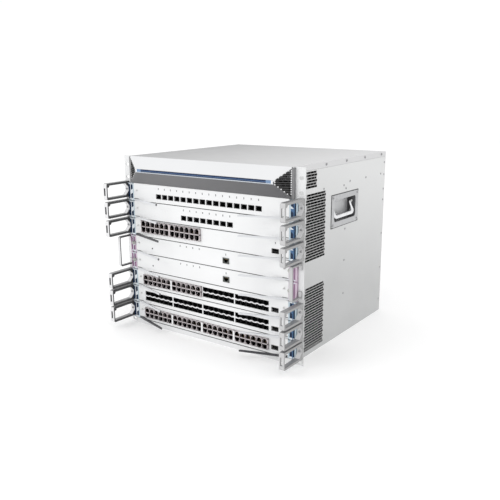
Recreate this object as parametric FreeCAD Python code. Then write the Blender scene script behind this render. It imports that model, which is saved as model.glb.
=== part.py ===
import FreeCAD, Part
import math
import os

Vector = FreeCAD.Vector

# A nine-unit modular switch chassis for a nineteen-inch rack, in millimetres.
# X runs to the right of someone who faces the front, Y to the back and Z up.
# Until it is saved, every piece is placed from the front face of the cards at y = 0,
# the middle of the case at x = 0 and the underside of the case at z = 0.

# Case
body_width = 440.0
body_depth = 416.0
head_height = 60.63
sheet = 1.5
seam = 0.3
cover_flange = 11.7
tongue_height = 9.0

# Rack ears
ear_reach = 21.3
ear_sheet = 2.0
ear_setback = 5.8
rack_unit = 44.45
rack_gap = 2.0
rack_hole_edge = 8.75
rack_slot_length = 10.0
rack_slot_width = 6.8
rack_hole_low = 6.35
rack_hole_middle = 22.225
rack_hole_high = 38.1

# Card slots
slot_count = 8
slot_pitch = 40.64
lip_height = 12.3
plenum_width = 26.3
cage_sheet = 1.2
ledge_reach = 4.0
ledge_sheet = 1.2
plenum_window_start = 30.0
plenum_window_length = 120.0
plenum_window_rise = 12.0
plenum_window_top_margin = 4.6

# Card faces
face_margin = 10.8
face_gap = 0.4
face_sheet = 1.5
face_hem = 9.0
hem_sheet = 1.2
notch_margin = 7.2
notch_slope = 9.5
notch_height = 4.9
wing_gap = 0.5
wing_sheet = 1.2
wing_top_margin = 0.94

# Card boards
board_rise = 6.0
board_sheet = 2.0
board_front = 3.0
nose_margin = 9.7
board_shoulder = 20.0
plug_overhang = 6.7
plug_length = 15.0
plug_height = 12.0
plug_width = 90.0
sink_start = 115.0
sink_length = 70.0
sink_width = 62.0
sink_base = 4.0
sink_fins = 3
fin_sheet = 2.2
fin_height = 15.0

# Ports
bank_count = 4
bank_left_margin = 6.1
bank_space = 1.2
column_pitch = 14.2
bank_top_margin = 9.64
tall_bank_low = 10.5
tall_bank_top_margin = 2.84
bank_depth = 26.0
bank_recess = 0.4
bank_rim = 0.4
bank_end_wall = 0.8
copper_wall = 2.4
copper_row_wall = 2.2
optic_row_wall = 4.0
window_clearance = 0.3
socket_depth = 16.0
row_centre = 3.0
row_pitch = 18.03
row_port_width = 13.5
row_port_height = 9.5
row_port_low = 10.0
shell_wall = 1.4
cage_gap = 0.2
console_gap = 7.3
console_right_margin = 8.2
console_width = 15.0
console_low = 11.0
console_height = 8.0
service_left = 45.8
service_width = 17.8
service_low = 11.0
service_height = 13.7
service_wall = 1.6

# Ejector levers
pivot_from_wing = 2.4
pivot_y = 2.0
knuckle_radius = 2.0
pin_radius = 0.9
pin_flat_count = 6
pin_clearance = 0.05
lug_width = 6.4
lug_sheet = 1.2
lever_gap = 0.3
arm_low = 0.8
arm_height = 3.6
arm_reach = 100.6
arm_fall = 31.8
arm_tip_width = 4.0
arm_knee_reach = 19.6
arm_knee_fall = 7.2
arm_knee_width = 5.2
head_face_gap = 0.4
foot_from_pivot = 6.4
pocket_depth = 1.6
outer_pocket_width = 4.2
pocket_rim = 3.2
pocket_gap = 1.6
pocket_end_margin = 1.6
thumb_low = 18.0
thumb_high = 27.0
thumb_slant = 4.0

# Cable rings and loops
ring_edge = 0.6
ring_width = 11.8
ring_reach = 69.8
ring_rise = 2.2
ring_top_margin = 1.24
ring_bar = 5.0
ring_front_bar = 4.0
ring_foot = 3.2
ring_corner = 5.0
ring_gusset = 9.0
ring_slit_width = 5.0
ring_slit_margin = 10.1
upper_ring_count = 3
upper_ring_lift = 1.0
upper_ring_step = 1.55
loop_edge = 3.9
loop_width = 7.0
loop_reach = 37.8
loop_low_margin = 8.3
loop_high_margin = 1.5
loop_bar = 3.6
loop_corner = 6.0
loop_foot = 14.0

# Fascia above the cards
fascia_gap = 0.3
fascia_inset = 3.4
ridge_inset = 32.7
ridge_reach = 17.0
ridge_drop = 25.05
ridge_height = 8.5
fascia_wall = 2.2
sleeve_gap = 0.4
sleeve_wall = 2.0
bar_margin = 0.8
bar_fit = 0.2
bar_proud = 0.5
bar_depth = 4.0
mesh_margin = 1.4
mesh_end_margin = 2.6
mesh_fit = 0.2
mesh_recess = 0.5
mesh_sheet = 1.2
mesh_row_pitch = 8.0
mesh_hole_height = 5.6
mesh_hole_width = 8.0
mesh_web = 2.0

# Side vents
vent_row_pitch = 11.5
vent_slot_height = 9.95
vent_front = 44.0
vent_length = 80.0
upper_vent_length = 42.0
vent_stagger = 3.3
upper_vent_low_drop = 47.05
upper_vent_top_drop = 14.1
middle_vent_low = 203.0
middle_vent_top_drop = 58.6
lower_vent_low = 10.7
lower_vent_top = 147.2

# Lifting handles
dish_front = 149.0
dish_length = 122.0
dish_drop = 74.0
dish_height = 69.0
dish_corner = 7.0
dish_sheet = 1.2
dish_rim = 11.0
dish_depth = 21.0
dish_fit = 0.5
bail_inset = 8.5
bail_pivot_drop = 12.0
bail_drop = 26.0
bail_leg_gap = 3.0
bail_leg_width = 9.0
bail_thickness = 4.0
bail_grip_radius = 5.0
bail_pin_radius = 2.5
bail_pin_clearance = 0.05
bail_boss_half = 5.5
bail_boss_depth = 3.0
bail_flat_count = 12

# Backplane
rear_bay = 81.0
backplane_sheet = 3.0
backplane_gap = 0.5
header_depth = 4.0
air_window_width = 40.0
air_window_margin = 5.0

# Power modules above the cards
shelf_rear_gap = 2.0
module_margin = 9.2
module_middle = 5.0
module_length = 306.0
module_bottom_gap = 0.3
module_top_gap = 3.0
module_sheet = 1.2
module_flange = 3.0
module_flange_rise = 2.0
module_slot_count = 5
module_slot_pitch = 14.0
module_slot_width = 9.0
module_slot_margin = 8.0
inlet_width = 27.5
inlet_height = 20.0
inlet_wall = 2.4
inlet_depth = 18.0
inlet_from_outside = 24.0

# Fan trays at the rear
tray_margin = 17.2
tray_depth = 48.0
tray_sheet = 1.2
tray_gap = 3.0
tray_flange = 3.0
tray_floor_gap = 3.0
tray_roof_gap = 4.0
fan_margin = 10.4
fan_grille_rows = 6
fan_grille_web = 5.4
motor_radius = 21.0
motor_depth = 9.0
spindle_radius = 4.0
spindle_clearance = 0.05
spindle_length = 22.0
fan_flat_count = 10
hub_radius = 25.0
hub_length = 20.0
hub_gap = 0.4
blade_count = 5
blade_gap = 4.0
blade_chord = 34.0
blade_sheet = 2.0
blade_pitch_angle = 36.0

# Handles on what pulls out at the rear
pull_reach = 24.0
pull_bar = 6.0
pull_width = 9.0
pull_span = 84.0
module_pull_span = 58.0

# Cover screws
screw_radius = 2.8
screw_flat_count = 8
screw_head = 0.9
screw_first_y = 123.0
screw_last_margin = 26.0
screw_count_per_side = 4
screw_from_edge = 5.2

# Sizes that follow from the ones above
slots_top = lip_height + slot_count * slot_pitch
height = slots_top + head_height
half_width = body_width / 2
inner_half = half_width - sheet - seam
ear_half = half_width + ear_reach
cage_front = ear_setback + ear_sheet + seam
cage_half = half_width - plenum_width
face_half = half_width - face_margin
notch_start = cage_half - notch_margin
ring_inner_x = ear_half - ring_edge - ring_width
ring_front = ear_setback - ring_reach
wing_half = ring_inner_x - wing_gap
wing_rear = ear_setback - seam
pivot_x = wing_half - pivot_from_wing
head_inner_x = face_half + head_face_gap
lever_top = slot_pitch - wing_top_margin
backplane_front = body_depth - rear_bay
plug_rear = backplane_front - header_depth - seam
dish_top = height - dish_drop
bail_x = half_width - bail_inset
fascia_half = half_width - fascia_inset
fascia_low = slots_top + fascia_gap
ridge_half = fascia_half - ridge_inset
ridge_high = height - ridge_drop
ridge_low = ridge_high - ridge_height
tray_half = inner_half - tray_margin
fan_x = tray_half / 2
module_half = inner_half - module_margin
seat_y = -(body_depth + pull_reach + sheet + ring_front) / 2


def slot_floor(number):
    """Height of the bottom of a card slot; slot 1 is the highest."""
    return lip_height + (slot_count - number) * slot_pitch


def at(plane, a, b, level):
    """A point of one of the three main planes, at a level along its normal."""
    if plane == "xy":
        return Vector(a, b, level)
    if plane == "xz":
        return Vector(a, level, b)
    return Vector(level, a, b)


def outline(plane, level, points):
    corners = [at(plane, a, b, level) for a, b in points]
    return Part.makePolygon(corners + corners[:1])


def rectangle(plane, level, a0, a1, b0, b1):
    return outline(plane, level, [(a0, b0), (a1, b0), (a1, b1), (a0, b1)])


def corner_points(a, b, radius, start, steps):
    """Points along a quarter of a circle, from the angle start on, in equal steps."""
    turns = [math.radians(start + 90 * step / steps) for step in range(steps + 1)]
    return [(a + radius * math.cos(turn), b + radius * math.sin(turn)) for turn in turns]


def softened(plane, level, a0, a1, b0, b1, radius):
    """A rectangle whose corners are rounded in two short facets each."""
    points = corner_points(a1 - radius, b0 + radius, radius, -90, 2)
    points += corner_points(a1 - radius, b1 - radius, radius, 0, 2)
    points += corner_points(a0 + radius, b1 - radius, radius, 90, 2)
    points += corner_points(a0 + radius, b0 + radius, radius, 180, 2)
    return outline(plane, level, points)


def slot(plane, level, a0, a1, b0, b1):
    """A slot with true half-circle ends, longer along its first axis."""
    radius = (b1 - b0) / 2
    middle = (b0 + b1) / 2
    right = Part.Arc(at(plane, a1 - radius, b0, level), at(plane, a1, middle, level),
                     at(plane, a1 - radius, b1, level)).toShape()
    left = Part.Arc(at(plane, a0 + radius, b1, level), at(plane, a0, middle, level),
                    at(plane, a0 + radius, b0, level)).toShape()
    over = Part.makeLine(at(plane, a1 - radius, b1, level), at(plane, a0 + radius, b1, level))
    under = Part.makeLine(at(plane, a0 + radius, b0, level), at(plane, a1 - radius, b0, level))
    return Part.Wire([right, over, left, under])


def flatted(plane, level, a, b, radius, flats):
    """A round drawn with equal flats, whose corners lie on the radius."""
    turns = [math.radians(360 * (place + 0.5) / flats) for place in range(flats)]
    return outline(plane, level, [(a + radius * math.cos(turn), b + radius * math.sin(turn))
                                  for turn in turns])


def bore_around(radius, clearance, flats):
    """The corner radius of a flatted bore whose flats clear a shaft of the given radius."""
    return (radius + clearance) / math.cos(math.pi / flats)


def plate(plane, level, thickness, rim, holes=()):
    """A flat sheet of one outline, pierced by holes, from level up to level + thickness."""
    normal = {"xy": Vector(0, 0, 1), "xz": Vector(0, 1, 0), "yz": Vector(1, 0, 0)}[plane]
    face = Part.makeFace([rim] + list(holes), "Part::FaceMakerBullseye")
    return face.extrude(normal * thickness)


def block(x0, x1, y0, y1, z0, z1):
    return Part.makeBox(x1 - x0, y1 - y0, z1 - z0, Vector(x0, y0, z0))


def joined(pieces):
    return pieces[0].multiFuse(pieces[1:]).removeSplitter()


def mirrored(shape):
    """The left-hand twin of a right-hand piece."""
    return shape.mirror(Vector(0, 0, 0), Vector(1, 0, 0))


def save(name, shape):
    """Moves a piece into the frame of the whole chassis and writes it."""
    placed = shape.copy()
    placed.translate(Vector(0, seat_y, 0))
    placed.exportStep("parts/%s.step" % name)


# The sheet-metal case


def base_plate():
    """A shallow tray; its front wall is the lip below the lowest card."""
    rear = body_depth - sheet - seam
    top = lip_height - seam
    tray = block(-inner_half, inner_half, 0, rear, 0, top)
    hollow = block(sheet - inner_half, inner_half - sheet, sheet, rear - sheet, sheet, top + 1)
    return tray.cut(hollow)


def top_cover():
    """A lid with a flange down each side, narrower at the front between the ears."""
    rim = [(-inner_half, seam), (inner_half, seam), (inner_half, cage_front),
           (half_width, cage_front), (half_width, body_depth), (-half_width, body_depth),
           (-half_width, cage_front), (-inner_half, cage_front)]
    lid = plate("xy", height - sheet, sheet, outline("xy", height - sheet, rim))
    low = height - cover_flange
    right = block(half_width - sheet, half_width, cage_front, body_depth, low, height)
    return joined([lid, right, mirrored(right)])


def vent_rows(low, top, length):
    """As many long slots as fit between two heights, every other one set back."""
    rows = math.floor((top - low - vent_slot_height) / vent_row_pitch + 0.01) + 1
    slots = []
    for row in range(rows):
        z = low + row * vent_row_pitch
        start = vent_front + vent_stagger * (row % 2)
        slots.append(rectangle("yz", half_width - sheet, start, start + length,
                               z, z + vent_slot_height))
    return slots


def handle_window():
    """The hole in a side panel that takes the handle dish."""
    margin = dish_rim - dish_fit - dish_sheet
    return softened("yz", half_width - sheet, dish_front + margin,
                    dish_front + dish_length - margin,
                    dish_top - dish_height + margin, dish_top - margin, dish_corner)


def rack_hole_heights():
    """Heights of the ear's slots: two in the top units and one in the lowest."""
    top_unit = height + rack_gap - rack_unit
    return [rack_hole_low, top_unit - rack_unit + rack_hole_high, top_unit + rack_hole_middle]


def side_panel():
    """The right wall with its vents, and the rack ear folded out at its front edge."""
    wall_top = height - cover_flange - seam
    x = half_width - sheet
    vents = vent_rows(height - upper_vent_low_drop, height - upper_vent_top_drop,
                      upper_vent_length)
    vents += vent_rows(middle_vent_low, height - middle_vent_top_drop, vent_length)
    vents += vent_rows(lower_vent_low, lower_vent_top, vent_length)
    wall = plate("yz", x, sheet, rectangle("yz", x, ear_setback, body_depth, 0, wall_top),
                 vents + [handle_window()])
    hole_x = ear_half - rack_hole_edge
    slots = []
    for z in rack_hole_heights():
        slots.append(slot("xz", ear_setback,
                          hole_x - rack_slot_length / 2, hole_x + rack_slot_length / 2,
                          z - rack_slot_width / 2, z + rack_slot_width / 2))
    ear = plate("xz", ear_setback, ear_sheet,
                rectangle("xz", ear_setback, x, ear_half, 0, height), slots)
    tongue_x = x - sheet - seam
    tongue_end = body_depth - sheet - seam
    step = block(tongue_x, half_width, cage_front, tongue_end, wall_top - sheet, wall_top)
    tongue = block(tongue_x, tongue_x + sheet, cage_front, tongue_end,
                   wall_top - sheet, wall_top + tongue_height)
    return joined([wall, ear, step, tongue])


def rear_frame():
    """The back sheet with a window for each power module and one for the fan trays."""
    top = height - sheet - seam
    y = body_depth - sheet
    z0, z1 = module_heights()
    windows = [rectangle("xz", y, -tray_half - seam, tray_half + seam,
                         tray_heights(0)[0] - seam, tray_heights(1)[1] + seam)]
    for x0, x1 in ((module_middle, module_half), (-module_half, -module_middle)):
        windows.append(rectangle("xz", y, x0 - seam, x1 + seam, z0 - seam, z1 + seam))
    inside = inner_half - sheet - seam
    back = plate("xz", y, sheet, rectangle("xz", y, -inner_half, inner_half, 0, top), windows)
    lip = block(-inside, inside, y - lip_height, y, top - sheet, top)
    side = block(inside - sheet, inside, y - lip_height, y, lip_height, top)
    return joined([back, lip, side, mirrored(side)])


# The cage that carries the cards, and the backplane


def guide_wall():
    """The right guide wall as one comb outline: two ledges hold the edge of each board."""
    inner = cage_half - cage_sheet
    tip = inner - ledge_reach
    points = [(cage_half, sheet), (cage_half, slots_top + seam), (inner, slots_top + seam)]
    for number in range(1, slot_count + 1):
        over = slot_floor(number) + board_rise + board_sheet + seam
        under = slot_floor(number) + board_rise - seam
        points += [(inner, over + ledge_sheet), (tip, over + ledge_sheet), (tip, over),
                   (inner, over), (inner, under), (tip, under), (tip, under - ledge_sheet),
                   (inner, under - ledge_sheet)]
    points.append((inner, sheet))
    return plate("xz", cage_front, backplane_front - seam - cage_front,
                 outline("xz", cage_front, points))


def plenum_windows():
    """Air windows through the guide wall, one above each board."""
    windows = []
    for number in range(1, slot_count + 1):
        floor = slot_floor(number)
        windows.append(block(cage_half - cage_sheet, cage_half, plenum_window_start,
                             plenum_window_start + plenum_window_length,
                             floor + plenum_window_rise,
                             floor + slot_pitch - plenum_window_top_margin))
    return windows


def card_cage():
    """Two guide walls folded out at the front, under one shelf for the power modules."""
    shelf_low = slots_top + seam
    post = block(cage_half - cage_sheet, cage_half, cage_front,
                 backplane_front + backplane_sheet, sheet, shelf_low)
    reach = inner_half - sheet - seam
    flange = block(cage_half - cage_sheet, reach, cage_front, cage_front + cage_sheet,
                   lip_height, shelf_low)
    right = joined([guide_wall(), post, flange]).cut(Part.makeCompound(plenum_windows()))
    shelf = block(-reach, reach, cage_front, body_depth - lip_height - shelf_rear_gap,
                  shelf_low, shelf_low + cage_sheet)
    return joined([shelf, right, mirrored(right)])


def plug_centres():
    return [-cage_half / 2, cage_half / 2]


def backplane():
    """The board behind the cards, with headers for their plugs and windows for air."""
    half = cage_half - cage_sheet - backplane_gap
    rim = rectangle("xz", backplane_front, -half, half, sheet + seam, slots_top)
    outer = half - air_window_margin - air_window_width / 2
    windows = []
    for x in (-outer, 0.0, outer):
        for number in range(2, slot_count + 1, 2):
            low = slot_floor(number) + air_window_margin
            windows.append(rectangle("xz", backplane_front, x - air_window_width / 2,
                                     x + air_window_width / 2, low,
                                     low + 2 * (slot_pitch - air_window_margin)))
    pieces = [plate("xz", backplane_front, backplane_sheet, rim, windows)]
    for number in range(1, slot_count + 1):
        low = slot_floor(number) + board_rise + board_sheet
        for x in plug_centres():
            pieces.append(block(x - plug_width / 2, x + plug_width / 2,
                                backplane_front - header_depth, backplane_front,
                                low, low + plug_height))
    return joined(pieces)


# The cards


def console_left():
    return cage_half - console_right_margin - console_width


def bank_pitch():
    """The four banks share the width between the left end and the small socket."""
    left = bank_left_margin - cage_half
    return (console_left() - console_gap - left + bank_space) / bank_count


def bank_columns():
    """As many ports side by side as fit in a bank."""
    return math.floor((bank_pitch() - bank_space - 2 * bank_end_wall) / column_pitch + 0.01)


def row_spans(low, high, row_wall):
    """The lowest and highest of each of a bank's two rows."""
    tall = (high - low - row_wall) / 2
    return [(low + bank_rim, low + tall), (high - tall, high - bank_rim)]


def copper_openings(centre, low, high):
    """Two rows of network sockets with a wall between each pair."""
    openings = []
    for column in range(bank_columns()):
        x = centre + (column - (bank_columns() - 1) / 2) * column_pitch
        half = (column_pitch - copper_wall) / 2
        for z0, z1 in row_spans(low, high, copper_row_wall):
            openings.append((x - half, x + half, z0, z1))
    return openings


def optic_openings(centre, low, high):
    """Two long rows, open from end to end as thin spring dividers leave them."""
    half = bank_columns() * column_pitch / 2
    return [(centre - half, centre + half, z0, z1)
            for z0, z1 in row_spans(low, high, optic_row_wall)]


def bank_centre(place):
    return bank_left_margin - cage_half + (place + 0.5) * bank_pitch() - bank_space / 2


def card_banks(number):
    """The outer box and the openings of each bank on a card, from left to right."""
    floor = slot_floor(number)
    low = floor + board_rise + board_sheet
    high = floor + slot_pitch - bank_top_margin
    kinds = {3: [copper_openings] * 2, 6: [copper_openings] * 2 + [optic_openings] * 2,
             7: [optic_openings] * 4, 8: [copper_openings] * 4}.get(number, [])
    if number == 3:
        low = floor + tall_bank_low
        high = floor + slot_pitch - tall_bank_top_margin
    half = (bank_pitch() - bank_space) / 2
    banks = []
    for place, openings in enumerate(kinds):
        centre = bank_centre(place)
        banks.append(((centre - half, centre + half, low, high), openings(centre, low, high)))
    return banks


def row_ports(number):
    """The single row of optical ports on cards 1 and 2."""
    count = {1: 16, 2: 8}.get(number, 0)
    low = slot_floor(number) + row_port_low
    ports = []
    for place in range(count):
        x = row_centre + (place - (count - 1) / 2) * row_pitch
        ports.append((x - row_port_width / 2, x + row_port_width / 2,
                      low, low + row_port_height))
    return ports


def console_port(number):
    """The small socket at the right end of cards 3, 6, 7 and 8."""
    if number not in (3, 6, 7, 8):
        return []
    low = slot_floor(number) + console_low
    return [(console_left(), console_left() + console_width, low, low + console_height)]


def service_port(number):
    """The network socket of the two supervisor cards."""
    if number not in (4, 5):
        return []
    low = slot_floor(number) + service_low
    return [(service_left, service_left + service_width, low, low + service_height)]


def grown(box, margin):
    x0, x1, z0, z1 = box
    return (x0 - margin, x1 + margin, z0 - margin, z1 + margin)


def face_holes(number):
    """Every hole in a card's face: a window round its banks, and one for each lone port."""
    holes = list(row_ports(number))
    holes += [grown(port, -service_wall) for port in service_port(number)]
    holes += console_port(number)
    banks = [box for box, openings in card_banks(number)]
    if banks:
        around = (banks[0][0], banks[-1][1], banks[0][2], banks[0][3])
        holes.append(grown(around, window_clearance))
    return holes


def lever_hinge(floor):
    """The wing at the right end of a card's face, with two lugs and the pin between them."""
    low = floor + arm_low
    high = floor + lever_top
    end = block(face_half - face_sheet, face_half, 0, wing_rear, floor + notch_height, high)
    wing = block(face_half - face_sheet, wing_half, wing_rear - wing_sheet, wing_rear, low, high)
    pieces = [end, wing]
    for z in (low, high - lug_sheet):
        pieces.append(block(wing_half - lug_width, wing_half, pivot_y - knuckle_radius,
                            wing_rear, z, z + lug_sheet))
    pieces.append(plate("xy", low, high - low,
                        flatted("xy", low, pivot_x, pivot_y, pin_radius, pin_flat_count)))
    return joined(pieces)


def card_face(number):
    """A folded face with a wing at each end that carries its ejector lever."""
    floor = slot_floor(number)
    low = floor + face_gap
    high = floor + slot_pitch - face_gap
    notch = floor + notch_height
    slope = notch_start + notch_slope
    rim = [(-face_half, notch), (-slope, notch), (-notch_start, low), (notch_start, low),
           (slope, notch), (face_half, notch), (face_half, high), (-face_half, high)]
    holes = [rectangle("xz", 0, *hole) for hole in face_holes(number)]
    front = plate("xz", 0, face_sheet, outline("xz", 0, rim), holes)
    hem = block(ledge_reach - cage_half, cage_half - ledge_reach, 0, face_hem,
                high - hem_sheet, high)
    right = lever_hinge(floor)
    return joined([front, hem, right, mirrored(right)])


def socket_block(boxes, openings, front, depth):
    """A connector shell with a blind socket behind each opening."""
    x0 = min(box[0] for box in boxes)
    x1 = max(box[1] for box in boxes)
    z0 = min(box[2] for box in boxes)
    z1 = max(box[3] for box in boxes)
    holes = [rectangle("xz", front, *opening) for opening in openings]
    shell = plate("xz", front, socket_depth, rectangle("xz", front, x0, x1, z0, z1), holes)
    back = block(x0, x1, front + socket_depth, front + depth, z0, z1)
    return joined([shell, back])


def port_shells(number):
    """The connector shells that stand on a card's board behind its face."""
    shells = []
    for box, openings in card_banks(number):
        shells.append(socket_block([box], openings, bank_recess, bank_depth))
    behind = face_sheet + cage_gap
    depth = bank_depth - behind
    ports = row_ports(number)
    if ports:
        trough = (ports[0][0], ports[-1][1], ports[0][2], ports[0][3])
        shells.append(socket_block([grown(trough, shell_wall)], [trough], behind, depth))
    for port in console_port(number):
        shells.append(socket_block([grown(port, shell_wall)], [port], behind, depth))
    for port in service_port(number):
        shells.append(socket_block([port], [grown(port, -service_wall)], behind, depth))
    return shells


def shell_legs(number, shells):
    """Feet under the shells that stand above the board's top face."""
    top = slot_floor(number) + board_rise + board_sheet
    legs = []
    for shell in shells:
        bounds = shell.BoundBox
        if bounds.ZMin > top:
            legs.append(block(bounds.XMin, bounds.XMax, face_hem + seam, bounds.YMax,
                              top, bounds.ZMin))
    return legs


def heat_sink(top):
    """A finned block; its fins run from front to back along the air's way out."""
    x0 = -sink_width / 2
    end = sink_start + sink_length
    pieces = [block(x0, x0 + sink_width, sink_start, end, top, top + sink_base)]
    step = (sink_width - fin_sheet) / (sink_fins - 1)
    for fin in range(sink_fins):
        x = x0 + fin * step
        pieces.append(block(x, x + fin_sheet, sink_start, end,
                            top, top + sink_base + fin_height))
    return joined(pieces)


def card_board(number):
    """A circuit board with its port shells, heat sink and backplane plugs."""
    low = slot_floor(number) + board_rise
    top = low + board_sheet
    half = cage_half - cage_sheet - seam
    nose = cage_half - nose_margin
    rear = plug_rear - plug_overhang
    rim = [(-nose, board_front), (nose, board_front), (nose, board_shoulder),
           (half, board_shoulder), (half, rear), (-half, rear), (-half, board_shoulder),
           (-nose, board_shoulder)]
    pieces = [plate("xy", low, board_sheet, outline("xy", low, rim)), heat_sink(top)]
    shells = port_shells(number)
    pieces += shells
    pieces += shell_legs(number, shells)
    for x in plug_centres():
        pieces.append(block(x - plug_width / 2, x + plug_width / 2,
                            plug_rear - plug_length, plug_rear, top, top + plug_height))
    return joined(pieces)


def lever_head(floor):
    """The tall head, bored for its pin, with two sunk fields split by a thumb rib."""
    low = floor + arm_low + lug_sheet + lever_gap
    high = floor + lever_top - lug_sheet - lever_gap
    front = pivot_y - knuckle_radius
    points = corner_points(pivot_x, pivot_y, knuckle_radius, -90, 2)
    points += corner_points(pivot_x, pivot_y, knuckle_radius, 0, 2)[1:]
    points += [(head_inner_x, pivot_y + knuckle_radius), (head_inner_x, front)]
    bore = flatted("xy", low, pivot_x, pivot_y,
                   bore_around(pin_radius, pin_clearance, pin_flat_count), pin_flat_count)
    body = plate("xy", low, high - low, outline("xy", low, points), [bore])
    inner0 = head_inner_x + pocket_rim
    outer1 = pivot_x - pin_radius - pin_clearance
    outer0 = outer1 - outer_pocket_width
    inner1 = outer0 - pocket_gap
    bottom = low + pocket_end_margin
    top = high - pocket_end_margin
    below = [(inner0, bottom), (inner1, bottom),
             (inner1, floor + thumb_low - thumb_slant), (inner0, floor + thumb_low)]
    above = [(inner0, floor + thumb_high), (inner1, floor + thumb_high - thumb_slant),
             (inner1, top), (inner0, top)]
    strip = [(outer0, bottom), (outer1, bottom), (outer1, top), (outer0, top)]
    for points in (below, above, strip):
        body = body.cut(plate("xz", front, pocket_depth, outline("xz", front, points)))
    return body


def lever(number):
    """The right ejector lever: a tapered arm low along the face, and its tall head."""
    floor = slot_floor(number)
    front = pivot_y - knuckle_radius
    rear = pivot_y + knuckle_radius
    tip_x = head_inner_x - arm_reach
    knee_x = head_inner_x - arm_knee_reach
    foot_x = pivot_x - foot_from_pivot
    points = [(tip_x, front - arm_fall), (knee_x, front - arm_knee_fall), (head_inner_x, front),
              (foot_x, front), (foot_x, rear), (head_inner_x, rear),
              (knee_x, front - arm_knee_fall + arm_knee_width),
              (tip_x + arm_tip_width / 2, front - arm_fall + arm_tip_width)]
    low = floor + arm_low
    arm = plate("xy", low, arm_height, outline("xy", low, points))
    return joined([arm, lever_head(floor)])


# Cable rings and loops on the ears


def ring_lift(number):
    """The rings of the upper cards stand a little higher than their slots."""
    if number > upper_ring_count:
        return 0.0
    return upper_ring_lift + (upper_ring_count - number) * upper_ring_step


def ring_outline(low, high):
    """The ring's outer edge, seen from the side, with two softened front corners."""
    front = ring_front
    points = [(ear_setback, high), (ear_setback, low)]
    points += [(a, b) for a, b in reversed(corner_points(front + ring_corner, low + ring_corner,
                                                         ring_corner, 180, 2))]
    points += [(a, b) for a, b in reversed(corner_points(front + ring_corner,
                                                         high - ring_corner,
                                                         ring_corner, 90, 2))]
    return points


def cable_ring(number):
    """One ring: a loop with a slit front bar and a gusseted foot that lies on the ear."""
    low = slot_floor(number) + ring_rise + ring_lift(number)
    high = slot_floor(number) + slot_pitch - ring_top_margin + ring_lift(number)
    x = ring_inner_x
    foot_y = ear_setback - ring_foot
    inner = [(ring_front + ring_front_bar, low + ring_bar), (foot_y - ring_gusset, low + ring_bar),
             (foot_y, low + ring_bar + ring_gusset), (foot_y, high - ring_bar - ring_gusset),
             (foot_y - ring_gusset, high - ring_bar), (ring_front + ring_front_bar, high - ring_bar)]
    loop = plate("yz", x, ring_width, outline("yz", x, ring_outline(low, high)),
                 [outline("yz", x, inner)])
    middle = x + ring_width / 2
    slit = block(middle - ring_slit_width / 2, middle + ring_slit_width / 2,
                 ring_front, ring_front + ring_front_bar,
                 low + ring_slit_margin, high - ring_slit_margin)
    return loop.cut(slit)


def cable_rings():
    """The rings of the six line cards; the two supervisor cards have none."""
    return Part.makeCompound([cable_ring(number) for number in (1, 2, 3, 6, 7, 8)])


def cable_loop():
    """The tall thin loop beside the two supervisor cards, with two feet on the ear."""
    x = ear_half - loop_edge - loop_width
    low = slot_floor(5) + loop_low_margin
    high = slot_floor(3) - loop_high_margin
    front = ear_setback - loop_reach
    rear = ear_setback - loop_bar
    corner = loop_corner
    outer = [(ear_setback, high), (ear_setback, low)]
    outer += corner_points(front + corner, low + corner, corner, 180, 2)[::-1]
    outer += corner_points(front + corner, high - corner, corner, 90, 2)[::-1]
    inside = front + loop_bar
    inner = [(rear, low + loop_foot), (rear, high - loop_foot), (ear_setback, high - loop_foot),
             (ear_setback, low + loop_foot)]
    loop = plate("yz", x, loop_width, outline("yz", x, outer))
    hollow = plate("yz", x, loop_width, outline("yz", x, [
        (inside, low + corner), (inside + corner - loop_bar, low + loop_bar), (rear, low + loop_bar),
        (rear, high - loop_bar), (inside + corner - loop_bar, high - loop_bar),
        (inside, high - corner)]))
    gap = plate("yz", x, loop_width, outline("yz", x, inner))
    return loop.cut(hollow).cut(gap)


# The fascia above the cards


def hipped_block(half, ridge, reach, low, high, ridge_bottom, ridge_top):
    """A solid with flat sloped sides from a base rectangle forward to a ridge band."""
    base = [Vector(-half, 0, low), Vector(half, 0, low), Vector(half, 0, high),
            Vector(-half, 0, high)]
    front = [Vector(-ridge, -reach, ridge_bottom), Vector(ridge, -reach, ridge_bottom),
             Vector(ridge, -reach, ridge_top), Vector(-ridge, -reach, ridge_top)]
    rims = [base, front]
    for side in range(4):
        after = (side + 1) % 4
        rims.append([base[side], base[after], front[after], front[side]])
    faces = [Part.Face(Part.makePolygon(rim + rim[:1])) for rim in rims]
    return Part.Solid(Part.Shell(faces))


def mesh_placed(shape):
    """Turns a piece drawn along the x axis from the ridge's end onto the right end face."""
    turn = math.degrees(math.atan2(ridge_reach, fascia_half - ridge_half))
    shape = shape.copy()
    shape.rotate(Vector(0, 0, 0), Vector(0, 0, 1), turn)
    shape.translate(Vector(ridge_half, -ridge_reach, 0))
    return shape


def mesh_rim(inset, level):
    """The end face's four-sided outline, drawn in all round, at a depth behind it."""
    length = math.hypot(fascia_half - ridge_half, ridge_reach)
    low_slope = (ridge_low - fascia_low) / length
    high_slope = (height - ridge_high) / length
    u0 = mesh_end_margin + inset
    u1 = length - mesh_end_margin - inset
    low_margin = (mesh_margin + inset) * math.hypot(1, low_slope)
    high_margin = (mesh_margin + inset) * math.hypot(1, high_slope)
    points = [(u0, ridge_low - low_slope * u0 + low_margin),
              (u1, ridge_low - low_slope * u1 + low_margin),
              (u1, ridge_high + high_slope * u1 - high_margin),
              (u0, ridge_high + high_slope * u0 - high_margin)]
    return outline("xz", level, points), points


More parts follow.
